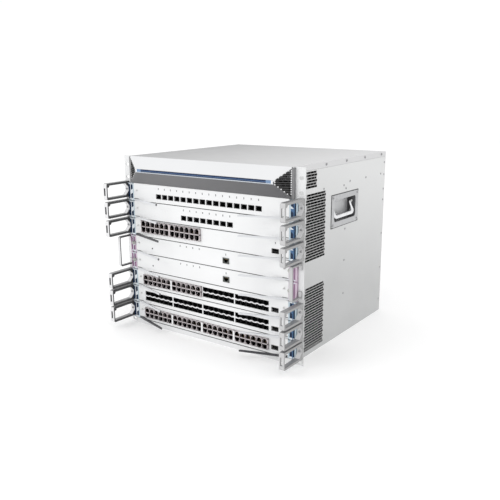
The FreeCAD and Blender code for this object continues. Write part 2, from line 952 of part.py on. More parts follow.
def fascia():
    """A hollow moulded hood: sloped faces, a ridge slot for the light bar, open ends."""
    low = fascia_low
    hood = hipped_block(fascia_half, ridge_half, ridge_reach, low, height, ridge_low, ridge_high)
    wall = fascia_wall
    hollow = hipped_block(fascia_half - wall, ridge_half - wall, ridge_reach - wall,
                          low + wall, height - wall, ridge_low + wall / 2, ridge_high - wall / 2)
    hood = hood.cut(hollow)
    bar_slot = block(bar_margin - ridge_half, ridge_half - bar_margin,
                     -ridge_reach, -ridge_reach + bar_depth,
                     ridge_low + bar_margin, ridge_high - bar_margin)
    hood = hood.cut(bar_slot)
    rim, points = mesh_rim(0.0, -wall)
    window = mesh_placed(plate("xz", -wall, 4 * wall, rim))
    hood = hood.cut(window).cut(mirrored(window))
    top = height - sheet - seam
    frame_half = half_width - seam
    frame = plate("xz", 0, wing_rear,
                  rectangle("xz", 0, -frame_half, frame_half, low, top),
                  [rectangle("xz", 0, wall - fascia_half, fascia_half - wall,
                             low + wall, top - wall)])
    sleeve_half = inner_half - sheet - 2 * seam
    outer = rectangle("xz", 0, -sleeve_half, sleeve_half, low + seam, top - seam)
    inner = rectangle("xz", 0, sleeve_wall - sleeve_half, sleeve_half - sleeve_wall,
                      low + seam + sleeve_wall, top - seam - sleeve_wall)
    sleeve = plate("xz", 0, cage_front - sleeve_gap, outer, [inner])
    return joined([hood, frame, sleeve])


def light_bar():
    """The translucent strip set in the ridge, a little proud of it."""
    inset = bar_margin + bar_fit
    return block(inset - ridge_half, ridge_half - inset,
                 -ridge_reach - bar_proud, -ridge_reach + bar_depth - bar_fit,
                 ridge_low + inset, ridge_high - inset)


def span_at(points, z):
    """Where a level line crosses the sloped outline of the mesh, as its nearest u."""
    (u0, low0), (u1, low1), (u1, high1), (u0, high0) = points
    if low0 <= z <= high0:
        return u0
    if z < low0:
        return u0 + (u1 - u0) * (low0 - z) / (low0 - low1)
    return u0 + (u1 - u0) * (z - high0) / (high1 - high0)


def fascia_mesh():
    """The pierced plate in the hood's right end: rows of holes that follow its slopes."""
    rim, points = mesh_rim(mesh_fit, mesh_recess)
    u_end = points[1][0] - mesh_web
    low = points[1][1] + mesh_web
    high = points[2][1] - mesh_web
    rows = int((high - low + mesh_row_pitch - mesh_hole_height) // mesh_row_pitch)
    start = (low + high - (rows - 1) * mesh_row_pitch - mesh_hole_height) / 2
    holes = []
    for row in range(rows):
        z0 = start + row * mesh_row_pitch
        z1 = z0 + mesh_hole_height
        u_start = max(span_at(points, z0), span_at(points, z1)) + mesh_web
        u = u_end - mesh_hole_width - (row % 2) * (mesh_hole_width + mesh_web) / 2
        if row % 2:
            holes.append(rectangle("xz", mesh_recess, u + mesh_hole_width + mesh_web, u_end,
                                   z0, z1))
        while u >= u_start:
            holes.append(rectangle("xz", mesh_recess, u, u + mesh_hole_width, z0, z1))
            u -= mesh_hole_width + mesh_web
    return mesh_placed(plate("xz", mesh_recess, mesh_sheet, rim, holes))


# The lifting handles


def dish_recess():
    """The dish's inner edges along y and z."""
    return (dish_front + dish_rim, dish_front + dish_length - dish_rim,
            dish_top - dish_height + dish_rim, dish_top - dish_rim)


def bail_pivot_z():
    return dish_recess()[3] - bail_pivot_drop


def handle_dish():
    """The right handle's pressed dish: a flange outside the case and a deep pan inside."""
    y0, y1, z0, z1 = dish_recess()
    x = half_width
    t = dish_sheet
    inner_corner = dish_corner - t
    flange = plate("yz", x, t,
                   softened("yz", x, y0 - dish_rim, y1 + dish_rim, z0 - dish_rim, z1 + dish_rim,
                            dish_corner),
                   [softened("yz", x, y0, y1, z0, z1, inner_corner)])
    pan_x = x - dish_depth
    outer = softened("yz", pan_x, y0 - t, y1 + t, z0 - t, z1 + t, dish_corner)
    pan = plate("yz", pan_x, dish_depth, outer)
    hollow = plate("yz", pan_x + t, dish_depth, softened("yz", pan_x + t, y0, y1, z0, z1,
                                                         inner_corner))
    dish = joined([flange, pan.cut(hollow)])
    pivot = bail_pivot_z()
    half = bail_boss_half
    depth = bail_boss_depth + t
    bore_radius = bore_around(bail_pin_radius, bail_pin_clearance, bail_flat_count)
    for y in (y0 - depth, y1):
        boss = block(bail_x - half, bail_x + half, y, y + depth, pivot - half, pivot + half)
        bore = plate("xz", y, depth, flatted("xz", y, bail_x, pivot, bore_radius, bail_flat_count))
        dish = dish.fuse(boss).cut(bore)
    return dish.removeSplitter()


def bail():
    """The swinging handle: two flat legs on pins, joined low down by a round grip."""
    y0, y1, z0, z1 = dish_recess()
    pivot = bail_pivot_z()
    x = bail_x - bail_thickness / 2
    grip_z = pivot - bail_drop
    half = bail_leg_width / 2
    starts = (y0 + bail_leg_gap, y1 - bail_leg_gap - bail_leg_width)
    pieces = []
    for y in starts:
        pieces.append(plate("yz", x, bail_thickness,
                            softened("yz", x, y, y + bail_leg_width, grip_z - half,
                                     pivot + half, half / 2)))
    grip_start = starts[0] + half
    pieces.append(plate("xz", grip_start, starts[1] + half - grip_start,
                        flatted("xz", grip_start, bail_x, grip_z, bail_grip_radius, bail_flat_count)))
    reach = bail_leg_gap + dish_sheet + bail_boss_depth + half
    for y in (y0 - dish_sheet - bail_boss_depth, starts[1] + half):
        pieces.append(plate("xz", y, reach,
                            flatted("xz", y, bail_x, pivot, bail_pin_radius, bail_flat_count)))
    return joined(pieces)


# What pulls out at the rear


def pull_handle(x, z, span, upright):
    """A squared bow handle that stands out of a rear face."""
    y0 = body_depth + sheet
    y1 = y0 + pull_reach
    if upright:
        side = x - pull_width / 2
        rim = rectangle("yz", side, y0, y1, z - span / 2, z + span / 2)
        gap = rectangle("yz", side, y0 - 1, y1 - pull_bar, z - span / 2 + pull_bar,
                        z + span / 2 - pull_bar)
        solid = plate("yz", side, pull_width, rim)
        return solid.cut(plate("yz", side, pull_width, gap))
    low = z - pull_width / 2
    rim = rectangle("xy", low, x - span / 2, x + span / 2, y0, y1)
    gap = rectangle("xy", low, x - span / 2 + pull_bar, x + span / 2 - pull_bar,
                    y0 - 1, y1 - pull_bar)
    return plate("xy", low, pull_width, rim).cut(plate("xy", low, pull_width, gap))


def module_heights():
    shelf_top = slots_top + seam + cage_sheet
    return shelf_top + module_bottom_gap, height - sheet - module_top_gap


def module_exhaust(x0, y):
    """The row of upright exhaust slots in a power module's rear face."""
    z0, z1 = module_heights()
    slots = []
    for place in range(module_slot_count):
        x = x0 + place * module_slot_pitch
        slots.append(rectangle("xz", y, x, x + module_slot_width,
                               z0 + module_slot_margin, z1 - module_slot_margin))
    return slots


def power_module():
    """The right power module: a sheet box with a flanged face, an inlet and a handle."""
    z0, z1 = module_heights()
    x0, x1 = module_middle, module_half
    t = module_sheet
    rear = body_depth + sheet
    front = body_depth - module_length
    case = block(x0, x1, front, body_depth, z0, z1)
    case = case.cut(block(x0 + t, x1 - t, front + t, body_depth, z0 + t, z1 - t))
    intake = plate("xz", front, t,
                   rectangle("xz", front, x0 + inlet_from_outside, x1 - inlet_from_outside,
                             z0 + 2 * module_slot_margin, z1 - 2 * module_slot_margin))
    case = case.cut(intake)
    inlet_x = x1 - inlet_from_outside - inlet_width
    inlet_z = (z0 + z1 - inlet_height) / 2
    inlet = (inlet_x, inlet_x + inlet_width, inlet_z, inlet_z + inlet_height)
    face = plate("xz", body_depth, sheet,
                 rectangle("xz", body_depth, x0 - module_flange, x1 + module_flange,
                           z0 - module_flange_rise, z1 + module_flange_rise),
                 module_exhaust(x0 + module_slot_margin, body_depth)
                 + [rectangle("xz", body_depth, *inlet)])
    outer = grown(inlet, inlet_wall)
    shell = block(outer[0], outer[1], body_depth - inlet_depth, body_depth, outer[2], outer[3])
    socket = block(inlet[0], inlet[1], body_depth - inlet_depth + inlet_wall, rear,
                   inlet[2], inlet[3])
    exhaust_end = x0 + module_slot_margin + module_slot_pitch * module_slot_count
    pull = pull_handle((exhaust_end + inlet_x) / 2, (z0 + z1) / 2, module_pull_span, False)
    return joined([case, face, shell.cut(socket), pull])


def tray_heights(place):
    """The lowest and highest of a fan tray's box; place 0 is the lower tray."""
    low = sheet + lip_height + tray_floor_gap
    high = slots_top - tray_roof_gap
    tall = (high - low - tray_gap) / 2
    return low + place * (tall + tray_gap), low + place * (tall + tray_gap) + tall


def fan_centre_z(place):
    low, high = tray_heights(place)
    return (low + high) / 2


def fan_radius():
    low, high = tray_heights(0)
    return (high - low) / 2 - fan_margin


def fan_grille(x, z, y):
    """Level slots that fill a circle behind one fan, clear of the motor mount."""
    pitch = 2 * fan_radius() / (fan_grille_rows + 1)
    half = (pitch - fan_grille_web) / 2
    inside = motor_radius + sheet
    slots = []
    for row in range(fan_grille_rows):
        rise = (row - (fan_grille_rows - 1) / 2) * pitch
        reach = math.sqrt(fan_radius() ** 2 - (abs(rise) + half) ** 2)
        z0 = z + rise - half
        z1 = z + rise + half
        if abs(rise) - half < motor_radius:
            slots.append(rectangle("xz", y, x - reach, x - inside, z0, z1))
            slots.append(rectangle("xz", y, x + inside, x + reach, z0, z1))
        else:
            slots.append(rectangle("xz", y, x - reach, x + reach, z0, z1))
    return slots


def fan_tray(place):
    """A sheet box with two round inlets, two grilles, motor mounts and a handle."""
    z0, z1 = tray_heights(place)
    t = tray_sheet
    front = body_depth - tray_depth
    case = block(-tray_half, tray_half, front, body_depth, z0, z1)
    case = case.cut(block(t - tray_half, tray_half - t, front + t, body_depth, z0 + t, z1 - t))
    z = fan_centre_z(place)
    grow = tray_flange
    low = z0 - (grow if place == 0 else tray_gap / 2 - seam)
    high = z1 + (grow if place == 1 else tray_gap / 2 - seam)
    slots = []
    mounts = []
    mount_y = body_depth - motor_depth
    spindle_y = mount_y - spindle_length
    for x in (-fan_x, fan_x):
        case = case.cut(Part.makeCylinder(fan_radius(), t, Vector(x, front, z),
                                          Vector(0, 1, 0)))
        slots += fan_grille(x, z, body_depth)
        mounts.append(plate("xz", mount_y, motor_depth,
                            flatted("xz", mount_y, x, z, motor_radius, fan_flat_count)))
        mounts.append(plate("xz", spindle_y, spindle_length,
                            flatted("xz", spindle_y, x, z, spindle_radius, fan_flat_count)))
    face = plate("xz", body_depth, sheet,
                 rectangle("xz", body_depth, -tray_half - grow, tray_half + grow, low, high),
                 slots)
    return joined([case, face, pull_handle(0.0, z, pull_span, True)] + mounts)


def fan_rotor(x, place):
    """A hub bored for its spindle, with flat blades set at an angle round it."""
    rear = body_depth - motor_depth - hub_gap
    hub = plate("xy", 0, hub_length, flatted("xy", 0, 0, 0, hub_radius, fan_flat_count))
    length = fan_radius() - blade_gap - hub_radius + blade_sheet
    pieces = [hub]
    for number in range(blade_count):
        blade = Part.makeBox(length, blade_chord, blade_sheet,
                             Vector(hub_radius - blade_sheet, -blade_chord / 2, -blade_sheet / 2))
        blade.rotate(Vector(0, 0, 0), Vector(1, 0, 0), blade_pitch_angle)
        blade.translate(Vector(0, 0, hub_length / 2))
        blade.rotate(Vector(0, 0, 0), Vector(0, 0, 1), number * 360 / blade_count)
        pieces.append(blade)
    bore_radius = bore_around(spindle_radius, spindle_clearance, fan_flat_count)
    bore = plate("xy", 0, hub_length, flatted("xy", 0, 0, 0, bore_radius, fan_flat_count))
    rotor = joined(pieces).cut(bore)
    rotor.rotate(Vector(0, 0, 0), Vector(1, 0, 0), -90)
    rotor.translate(Vector(x, rear - hub_length, fan_centre_z(place)))
    return rotor


# Fasteners


def cover_screws():
    """The pan heads that hold the cover's flanges, evenly spread along each side."""
    z = height - screw_from_edge
    pitch = (body_depth - screw_last_margin - screw_first_y) / (screw_count_per_side - 1)
    heads = []
    for place in range(screw_count_per_side):
        head = plate("yz", half_width, screw_head,
                     flatted("yz", half_width, screw_first_y + place * pitch, z,
                             screw_radius, screw_flat_count))
        heads += [head, mirrored(head)]
    return Part.makeCompound(heads)


def write_case():
    right = side_panel()
    save("side_panel_right", right)
    save("side_panel_left", mirrored(right))
    save("base_plate", base_plate())
    save("top_cover", top_cover())
    save("rear_frame", rear_frame())
    save("card_cage", card_cage())
    save("backplane", backplane())
    save("cover_screws", cover_screws())


def write_cards():
    for number in range(1, slot_count + 1):
        save("card_%d_face" % number, card_face(number))
        save("card_%d_board" % number, card_board(number))
        right = lever(number)
        save("card_%d_lever_right" % number, right)
        save("card_%d_lever_left" % number, mirrored(right))


def write_front():
    save("fascia", fascia())
    save("light_bar", light_bar())
    for name, right in (("fascia_mesh", fascia_mesh()), ("cable_rings", cable_rings()),
                        ("cable_loop", cable_loop()), ("handle_dish", handle_dish()),
                        ("handle_bail", bail())):
        save(name + "_right", right)
        save(name + "_left", mirrored(right))


def write_rear():
    right = power_module()
    save("power_module_right", right)
    save("power_module_left", mirrored(right))
    for place, level in enumerate(("lower", "upper")):
        save("fan_tray_" + level, fan_tray(place))
        save("fan_rotor_%s_left" % level, fan_rotor(-fan_x, place))
        save("fan_rotor_%s_right" % level, fan_rotor(fan_x, place))


os.makedirs("parts", exist_ok=True)
write_case()
write_cards()
write_front()
write_rear()
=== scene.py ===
import math

import bpy
import numpy as np
from mathutils import Matrix, Vector


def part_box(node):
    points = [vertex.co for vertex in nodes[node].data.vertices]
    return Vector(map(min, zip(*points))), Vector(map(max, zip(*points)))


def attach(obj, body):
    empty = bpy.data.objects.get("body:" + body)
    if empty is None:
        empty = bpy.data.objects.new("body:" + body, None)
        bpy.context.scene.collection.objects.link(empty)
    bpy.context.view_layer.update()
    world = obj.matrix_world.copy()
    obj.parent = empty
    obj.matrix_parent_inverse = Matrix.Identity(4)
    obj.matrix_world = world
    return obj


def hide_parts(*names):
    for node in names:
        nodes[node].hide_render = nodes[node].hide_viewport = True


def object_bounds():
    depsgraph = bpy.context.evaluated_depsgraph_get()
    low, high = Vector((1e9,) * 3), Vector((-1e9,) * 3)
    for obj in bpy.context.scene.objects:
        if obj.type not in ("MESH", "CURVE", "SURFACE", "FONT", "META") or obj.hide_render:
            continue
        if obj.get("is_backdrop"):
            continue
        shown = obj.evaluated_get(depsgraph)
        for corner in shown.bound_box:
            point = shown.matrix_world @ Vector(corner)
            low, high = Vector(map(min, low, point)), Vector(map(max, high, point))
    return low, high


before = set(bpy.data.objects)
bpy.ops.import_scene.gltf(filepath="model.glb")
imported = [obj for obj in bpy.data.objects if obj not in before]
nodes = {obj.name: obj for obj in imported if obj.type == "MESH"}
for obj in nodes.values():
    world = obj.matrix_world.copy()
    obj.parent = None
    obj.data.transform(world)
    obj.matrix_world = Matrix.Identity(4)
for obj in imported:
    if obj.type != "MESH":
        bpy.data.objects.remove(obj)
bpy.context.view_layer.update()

MM = 0.001

# Case walls. The two side panels with their folded rack ears, the bottom tray and the rear
# frame are steel sheet, pressed and folded, then powder coated a cool light grey. The coat is
# satin, with a fine orange peel and a slightly darker, rougher film where it lies thin.


class Shade:
    """A socket in a material's tree. Sums such as 1 - mask or depth > 2 add their Math nodes."""

    def __init__(self, tree, socket):
        self.tree = tree
        self.socket = socket

    def add(self, kind, settings=None, inputs=None, output=0):
        """Adds a node: its settings first, a ramp's stops among them, then its sockets."""
        node = self.tree.nodes.new(kind)
        for name, setting in (settings or {}).items():
            if name == "stops":
                ramp = node.color_ramp.elements
                while len(ramp) < len(setting):
                    ramp.new(0.5)
                for element, (place, colour) in zip(ramp, setting):
                    element.position = place
                    element.color = (*colour, 1.0)
            else:
                setattr(node, name, setting)
        for name, value in (inputs or {}).items():
            if isinstance(value, Shade):
                self.tree.links.new(value.socket, node.inputs[name])
            else:
                node.inputs[name].default_value = value
        return Shade(self.tree, node.outputs[output])

    def maths(self, operation, first, second):
        return self.add("ShaderNodeMath", {"operation": operation}, {0: first, 1: second})

    def __add__(self, other):
        return self.maths("ADD", self, other)

    __radd__ = __add__

    def __sub__(self, other):
        return self.maths("SUBTRACT", self, other)

    def __rsub__(self, other):
        return self.maths("SUBTRACT", other, self)

    def __mul__(self, other):
        return self.maths("MULTIPLY", self, other)

    __rmul__ = __mul__

    def __truediv__(self, other):
        return self.maths("DIVIDE", self, other)

    def __mod__(self, other):
        return self.maths("MODULO", self, other)

    def __gt__(self, other):
        return self.maths("GREATER_THAN", self, other)

    def __lt__(self, other):
        return self.maths("LESS_THAN", self, other)

    def __abs__(self):
        return self.maths("ABSOLUTE", self, 0.0)

    def between(self, low, high):
        """1 inside the two limits and 0 outside them."""
        return (self > low) * (self < high)

    def soft(self, low, high):
        """A straight slope from 0 at low to 1 at high."""
        return self.add("ShaderNodeMapRange", {"clamp": True},
                        {"Value": self, "From Min": low, "From Max": high})

    def mixed(self, first, second):
        """A colour that goes from first, where this is 0, to second, where it is 1."""
        inputs = {0: self}
        for number, colour in ((6, first), (7, second)):
            inputs[number] = colour if isinstance(colour, Shade) else (*colour, 1.0)
        return self.add("ShaderNodeMix", {"data_type": "RGBA"}, inputs, 2)


class Finish:
    """A new material, the object's coordinates and facing in it, and what its shader takes."""

    def __init__(self, name, roughness=0.5, metallic=0.0, coat=0.0, specular=0.5):
        self.material = bpy.data.materials.new(name)
        self.material.use_nodes = True
        tree = self.material.node_tree
        self.shader = tree.nodes["Principled BSDF"]
        self.tree = tree
        self.tone = None
        self.start = Shade(tree, None)
        self.place = self.start.add("ShaderNodeTexCoord", output=3)
        self.x, self.y, self.z = self.parts(self.place)
        facing = self.start.add("ShaderNodeNewGeometry", output=3)
        self.nx, self.ny, self.nz = self.parts(
            self.start.add("ShaderNodeVectorTransform",
                           {"vector_type": "NORMAL", "convert_from": "WORLD",
                            "convert_to": "OBJECT"}, {0: facing}))
        for socket, value in (("Roughness", roughness), ("Metallic", metallic),
                              ("Coat Weight", coat), ("Specular IOR Level", specular)):
            self.shader.inputs[socket].default_value = value

    def parts(self, vector):
        split = self.tree.nodes.new("ShaderNodeSeparateXYZ")
        self.tree.links.new(vector.socket, split.inputs[0])
        return [Shade(self.tree, out) for out in split.outputs]

    def noise(self, scale, detail=2.0, stretch=None):
        """Cloudy noise from 0 to 1, scale to the metre, drawn out along an axis by stretch."""
        where = self.place
        if stretch:
            where = self.start.add("ShaderNodeMapping", None,
                                   {"Vector": where, "Scale": stretch})
        return self.start.add("ShaderNodeTexNoise", None,
                              {"Vector": where, "Scale": scale, "Detail": detail})

    def set(self, **values):
        """Puts values or links into the shader's sockets, named with _ for a space."""
        self.tone = values.get("Base_Color", self.tone)
        for name, value in values.items():
            socket = self.shader.inputs[name.replace("_", " ")]
            if isinstance(value, Shade):
                self.tree.links.new(value.socket, socket)
            else:
                socket.default_value = (*value, 1.0) if isinstance(value, tuple) else value
        return self

    def over(self, mask, colour):
        """Lays another colour over the present one, as far as the mask goes from 0 to 1."""
        return self.set(Base_Color=mask.mixed(self.tone, colour))

    def bump(self, height, depth, strength=1.0):
        """Relief of the given depth in metres, which turns the light but moves no point."""
        self.set(Normal=self.start.add("ShaderNodeBump", None,
                                       {"Height": height, "Distance": depth,
                                        "Strength": strength}))
        return self


def dress(finish, *names):
    """Gives CAD nodes one finish in place of the plain one of their slot."""
    for name in names:
        nodes[name].data.materials.clear()
        nodes[name].data.materials.append(finish.material)


def powder_coat(name, colour, roughness=0.42, peel=0.00004):
    """A satin powder coat: faint clouds in its tone, an orange peel and rubbed patches."""
    coat = Finish(name, roughness, specular=0.4)
    clouds = coat.noise(9.0, 3.0)
    darker = tuple(0.95 * part for part in colour)
    coat.set(Base_Color=clouds.soft(0.3, 0.7).mixed(darker, colour))
    coat.set(Roughness=coat.noise(34.0, 3.0) * 0.14 + (roughness - 0.07))
    return coat.bump(coat.noise(900.0, 1.0), peel, 0.6)


front_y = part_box("card_1_face")[0][1]
wall_coat = powder_coat("case_powder_coat", (0.49, 0.495, 0.495))
behind = wall_coat.y - front_y
# Painted light: the coat goes lighter upwards and towards the rear, and faces that look forward,
# the ear fronts among them, are painted lighter still.
wall_coat.over((wall_coat.z + 0.25 * behind).soft(0.17, 0.44), (0.665, 0.67, 0.67))
wall_coat.over(wall_coat.ny < -0.7, (0.74, 0.745, 0.75))
vent_fields = ((351.0, 3, 42.0), (203.0, 12, 80.0), (10.7, 12, 80.0))
vent_pitch, vent_front, vent_step = 11.5, 44.0, 3.3
for low, rows, length in vent_fields:
    field = wall_coat.z.between((low - 0.1) * MM, (low + vent_pitch * rows - 1.5) * MM)
    field = field * behind.between((vent_front + 1.0) * MM, (vent_front - 1.0 + length) * MM)
    # Painted shade: the side-facing faces inside each vent field are painted darker.
    wall_coat.over(field * (abs(wall_coat.nx) > 0.5), (0.40, 0.40, 0.40))
# Painted shade: the faces across the wall's thickness at the vent slots are painted near black.
slot_edge_shade = (abs(wall_coat.nx) < 0.5) * abs(wall_coat.x).between(217.0 * MM, 219.93 * MM)
wall_coat.over(slot_edge_shade * behind.between(42.0 * MM, 132.0 * MM), (0.09, 0.09, 0.09))
dress(wall_coat, "side_panel_left", "side_panel_right", "base_plate", "rear_frame")

# Vent bars. Each long row of the side vents has a bar along its middle, punched in the same
# sheet, and short upright webs that lie a little behind its face. The upper half of a row ends
# a step earlier, so the rear edge of each field runs in small steps.

half_width = 220.0


def placed(name, data):
    """A new object in the scene, which holds a mesh, a light or a camera."""
    thing = bpy.data.objects.new(name, data)
    bpy.context.scene.collection.objects.link(thing)
    return thing


def skin(name, grids, finish, body, closed=False, sharp=35.0):
    """Quads over grids of points, in mm from the card faces: copies, stations, points round, 3.

    The points of a station join in a loop. The stations close on themselves as a ring's do, or
    end in flat caps. Each copy is turned so that the sum of first . (second x third) over its
    triangles, six times its volume, is above zero.
    """
    copies, stations, around, _ = grids.shape
    points = grids.reshape(-1, 3) * MM + np.array([0.0, front_y, 0.0])
    index = np.arange(copies * stations * around).reshape(copies, stations, around)
    caps = np.stack([index[:, 0, ::-1], index[:, -1]], axis=1)
    if closed:
        index = np.concatenate([index, index[:, :1]], axis=1)
    beside = np.roll(index, -1, axis=2)
    quads = np.stack([index[:, :-1], beside[:, :-1], beside[:, 1:], index[:, 1:]], axis=-1)
    quads = quads.reshape(copies, -1, 4)
    volume = np.zeros(copies)
    for faces in (quads, caps) if not closed else (quads,):
        corner = points[faces]
        turn = np.cross(corner[:, :, 1:-1], corner[:, :, 2:])
        volume += (turn * corner[:, :, :1]).sum(axis=(1, 2, 3))
    inside_out = volume < 0
    quads[inside_out] = quads[inside_out][:, :, ::-1]
    caps[inside_out] = caps[inside_out][:, :, ::-1]
    faces = quads.reshape(-1, 4).tolist()
    if not closed:
        faces += caps.reshape(-1, around).tolist()
    mesh = bpy.data.meshes.new(name)
    mesh.from_pydata(points.tolist(), [], faces)
    mesh.polygons.foreach_set("use_smooth", np.ones(len(faces), dtype=bool))
    mesh.set_sharp_from_angle(angle=math.radians(sharp))
    piece = placed(name, mesh)
    piece.data.materials.append(finish.material)
    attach(piece, body)
    return piece


def box_grids(boxes):
    """Boxes between pairs of corners: a square of four points carried up in two stations."""
    low, high = np.moveaxis(np.array(boxes, dtype=float), 1, 0)[:, :, None, None, :]
    share = np.array([[[0, 0, part], [1, 0, part], [1, 1, part], [0, 1, part]]
                      for part in (0, 1)], dtype=float)
    return low + share * (high - low)


def blocks(name, boxes, finish, body):
    return skin(name, box_grids(boxes), finish, body)


def both_sides(boxes):
    """Pairs of low and high corners, and their twins on the other side of the middle."""
    return boxes + [((-high[0], *low[1:]), (-low[0], *high[1:])) for low, high in boxes]


def vent_boxes():
    """The bar, the rear fills and the upright webs of every row, on the right-hand wall."""
    outer, inner, back = half_width - 0.04, half_width - 1.45, half_width - 0.8
    boxes = []
    for low, rows, length in vent_fields:
        for row in range(rows):
            start = vent_front + vent_step * (row % 2)
            end = start + length
            z = low + vent_pitch * row
            boxes.append(((inner, start - 0.2, z + 4.2), (outer, end + 0.2, z + 5.75)))
            for part, (z0, z1) in enumerate(((z - 0.1, z + 4.2), (z + 5.75, z + 10.05))):
                stop = vent_front + length - vent_step * part
                if end > stop + 0.1:
                    boxes.append(((inner, stop, z0), (outer, end + 0.2, z1)))
                middles = np.arange(start + 6.6 - vent_step * part, stop - 1.0, 13.28)
                boxes += [((inner, y - 0.3, z0), (back, y + 0.3, z1)) for y in middles]
    return boxes


blocks("vent_bars", both_sides(vent_boxes()), wall_coat, "chassis")

# Top cover. A lid of coated sheet with a flange folded down each side, held by four pan head
# screws a side. Its coat is darker than the walls', and it is painted lighter from left to right
# as painted light.

cover_coat = powder_coat("cover_powder_coat", (0.37, 0.37, 0.375), 0.45)
# Painted light: the cover goes from darker on the left to lighter on the right.
cover_coat.over(cover_coat.x.soft(-0.2, 0.22), (0.61, 0.61, 0.615))
dress(cover_coat, "top_cover")

# Screws. Small zinc-plated pan heads with a cross recess, turned and stamped, hold the cover,
# the walls, the ears and the dishes. Each head stands on the face that it clamps.


def plated(name, colour, roughness=0.32, grain=(1.0, 1.0, 14.0)):
    """Plated or brushed metal: a fine drawn grain in its gloss and in its relief."""
    metal = Finish(name, roughness, metallic=1.0)
    streak = metal.noise(260.0, 2.0, grain)
    dark = tuple(0.82 * part for part in colour)
    metal.set(Base_Color=metal.noise(40.0, 3.0).soft(0.3, 0.7).mixed(dark, colour))
    metal.set(Roughness=streak * 0.22 + (roughness - 0.11))
    return metal.bump(streak, 0.00002, 0.4)


zinc = plated("screw_zinc_plate", (0.42, 0.42, 0.43), 0.3, None)
sides = ((1, "right"), (-1, "left"))


def screw_heads(name, points, outward, radius, height, body="chassis", finish=zinc):
    """Domed heads with a cross recess, at points on a face, along one outward direction.

    The profile runs from the rim up to the crown; a point's height is that of the dome less
    the recess, which is deep where either arm of the cross covers it and slopes up its ends.
    """
    outward = np.array(outward, dtype=float)
    across = np.array([0.0, 0.0, 1.0]) if abs(outward[2]) < 0.5 else np.array([1.0, 0.0, 0.0])
    other = np.cross(outward, across)
    turn = np.linspace(0.0, 2 * np.pi, 21)[:-1]
    share = np.array([1.0, 1.0, 0.96, 0.84, 0.66, 0.5, 0.34, 0.2, 0.06])
    rise = np.array([-0.2, 0.45, 0.64, 0.86, 0.96, 0.99, 1.0, 1.0, 1.0])
    a = share[:, None] * np.cos(turn)
    b = share[:, None] * np.sin(turn)
    arm = np.minimum(np.abs(a), np.abs(b))
    reach = np.maximum(np.abs(a), np.abs(b))
    sunk = np.clip((0.2 - arm) / 0.07, 0, 1) * np.clip((0.64 - reach) / 0.22, 0, 1)
    level = rise[:, None] * height - 0.8 * height * sunk
    head = radius * (a[..., None] * other + b[..., None] * across) + level[..., None] * outward
    places = np.array(points, dtype=float)[:, None, None, :]
    return skin(name, places + head[None], finish, body)


def on_walls(name, places, x, radius, height):
    """Heads on both side walls from pairs of (behind the front, above the underside)."""
    for side, word in sides:
        points = [(side * x, y, z) for y, z in places]
        screw_heads(name + "_" + word, points, (side, 0, 0), radius, height)


dress(zinc, "cover_screws")
on_walls("cover_flange_screws", [(123.0 + 89.0 * place, 392.85) for place in range(4)],
         half_width + 0.7, 2.7, 1.0)
wall_places = [(203.0, 341.0), (231.0, 347.0), (213.0, 333.0), (310.0, 347.0), (213.5, 244.0),
               (214.0, 173.0), (214.0, 96.0), (115.0, 343.5), (390.7, 347.0)]
wall_places += [(409.0, z) for z in (373.0, 344.0, 309.0, 283.0, 199.5, 113.0, 31.0)]
on_walls("wall_screws", wall_places, half_width, 2.3, 0.9)

# Card cage and backplane. The cage is zinc sheet coated near black, painted shade for the dark
# inside seen through the side vents; the backplane is a thick circuit board under a green solder
# mask, with black moulded headers for the cards.

dress(powder_coat("cage_near_black_painted_shade", (0.06, 0.061, 0.06), 0.5), "card_cage")


def solder_mask(name, shells=None):
    """Green mask over fine copper traces; shells, a function of the finish, masks other parts."""
    board = Finish(name, 0.36, coat=0.3)
    traces = board.start.add("ShaderNodeTexBrick", {"offset": 0.37, "squash": 0.6},
                             {"Vector": board.place, "Scale": 90.0, "Mortar Size": 0.012,
                              "Color1": (0.02, 0.13, 0.06, 1), "Color2": (0.025, 0.15, 0.07, 1),
                              "Mortar": (0.05, 0.26, 0.12, 1)})
    board.set(Base_Color=traces)
    if shells:
        shells(board, traces)
    return board.bump(board.noise(500.0, 1.0), 0.00003, 0.5)


def header_black(board, traces):
    ahead = board.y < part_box("backplane")[1][1] - 3.05 * MM
    board.set(Base_Color=ahead.mixed(traces, (0.02, 0.02, 0.022)))


dress(solder_mask("backplane_mask", header_black), "backplane")

# Card faces. Each is a folded steel face, powder coated near-white, with windows for its ports.
# Along its lower edge lies a dark strip, a gasket that is also painted shade for the seam to the
# card below. Two captive screws, small light pipes and a reset button finish it.

card_coat = powder_coat("card_powder_coat", (0.82, 0.825, 0.83), 0.38)
mauve_wings = powder_coat("card_powder_coat_mauve_wings", (0.82, 0.825, 0.83), 0.38)
for coat, tint in ((card_coat, (0.46, 0.52, 0.57)), (mauve_wings, (0.56, 0.43, 0.54))):
    coat.over(abs(coat.x) > 209.4 * MM, tint)
dress(card_coat, *["card_%d_face" % card for card in (1, 2, 3, 6, 7, 8)])
dress(mauve_wings, "card_4_face", "card_5_face")


slot_pitch = 40.64
lowest_floor = 12.3
row_middle, row_pitch = 3.0, 18.03


def floor(card):
    """Height of the bottom of a card's slot; card 1 is the highest."""
    return lowest_floor + (8 - card) * slot_pitch


def moulded(name, colour, roughness=0.42, grain=0.00004):
    """Moulded plastic with a fine spark-eroded grain and a slightly uneven gloss."""
    plastic = Finish(name, roughness)
    dark = tuple(0.93 * part for part in colour)
    plastic.set(Base_Color=plastic.noise(22.0, 2.0).soft(0.3, 0.7).mixed(dark, colour))
    plastic.set(Roughness=plastic.noise(90.0, 2.0) * 0.16 + (roughness - 0.08))
    return plastic.bump(plastic.noise(1500.0, 1.0), grain, 0.5)


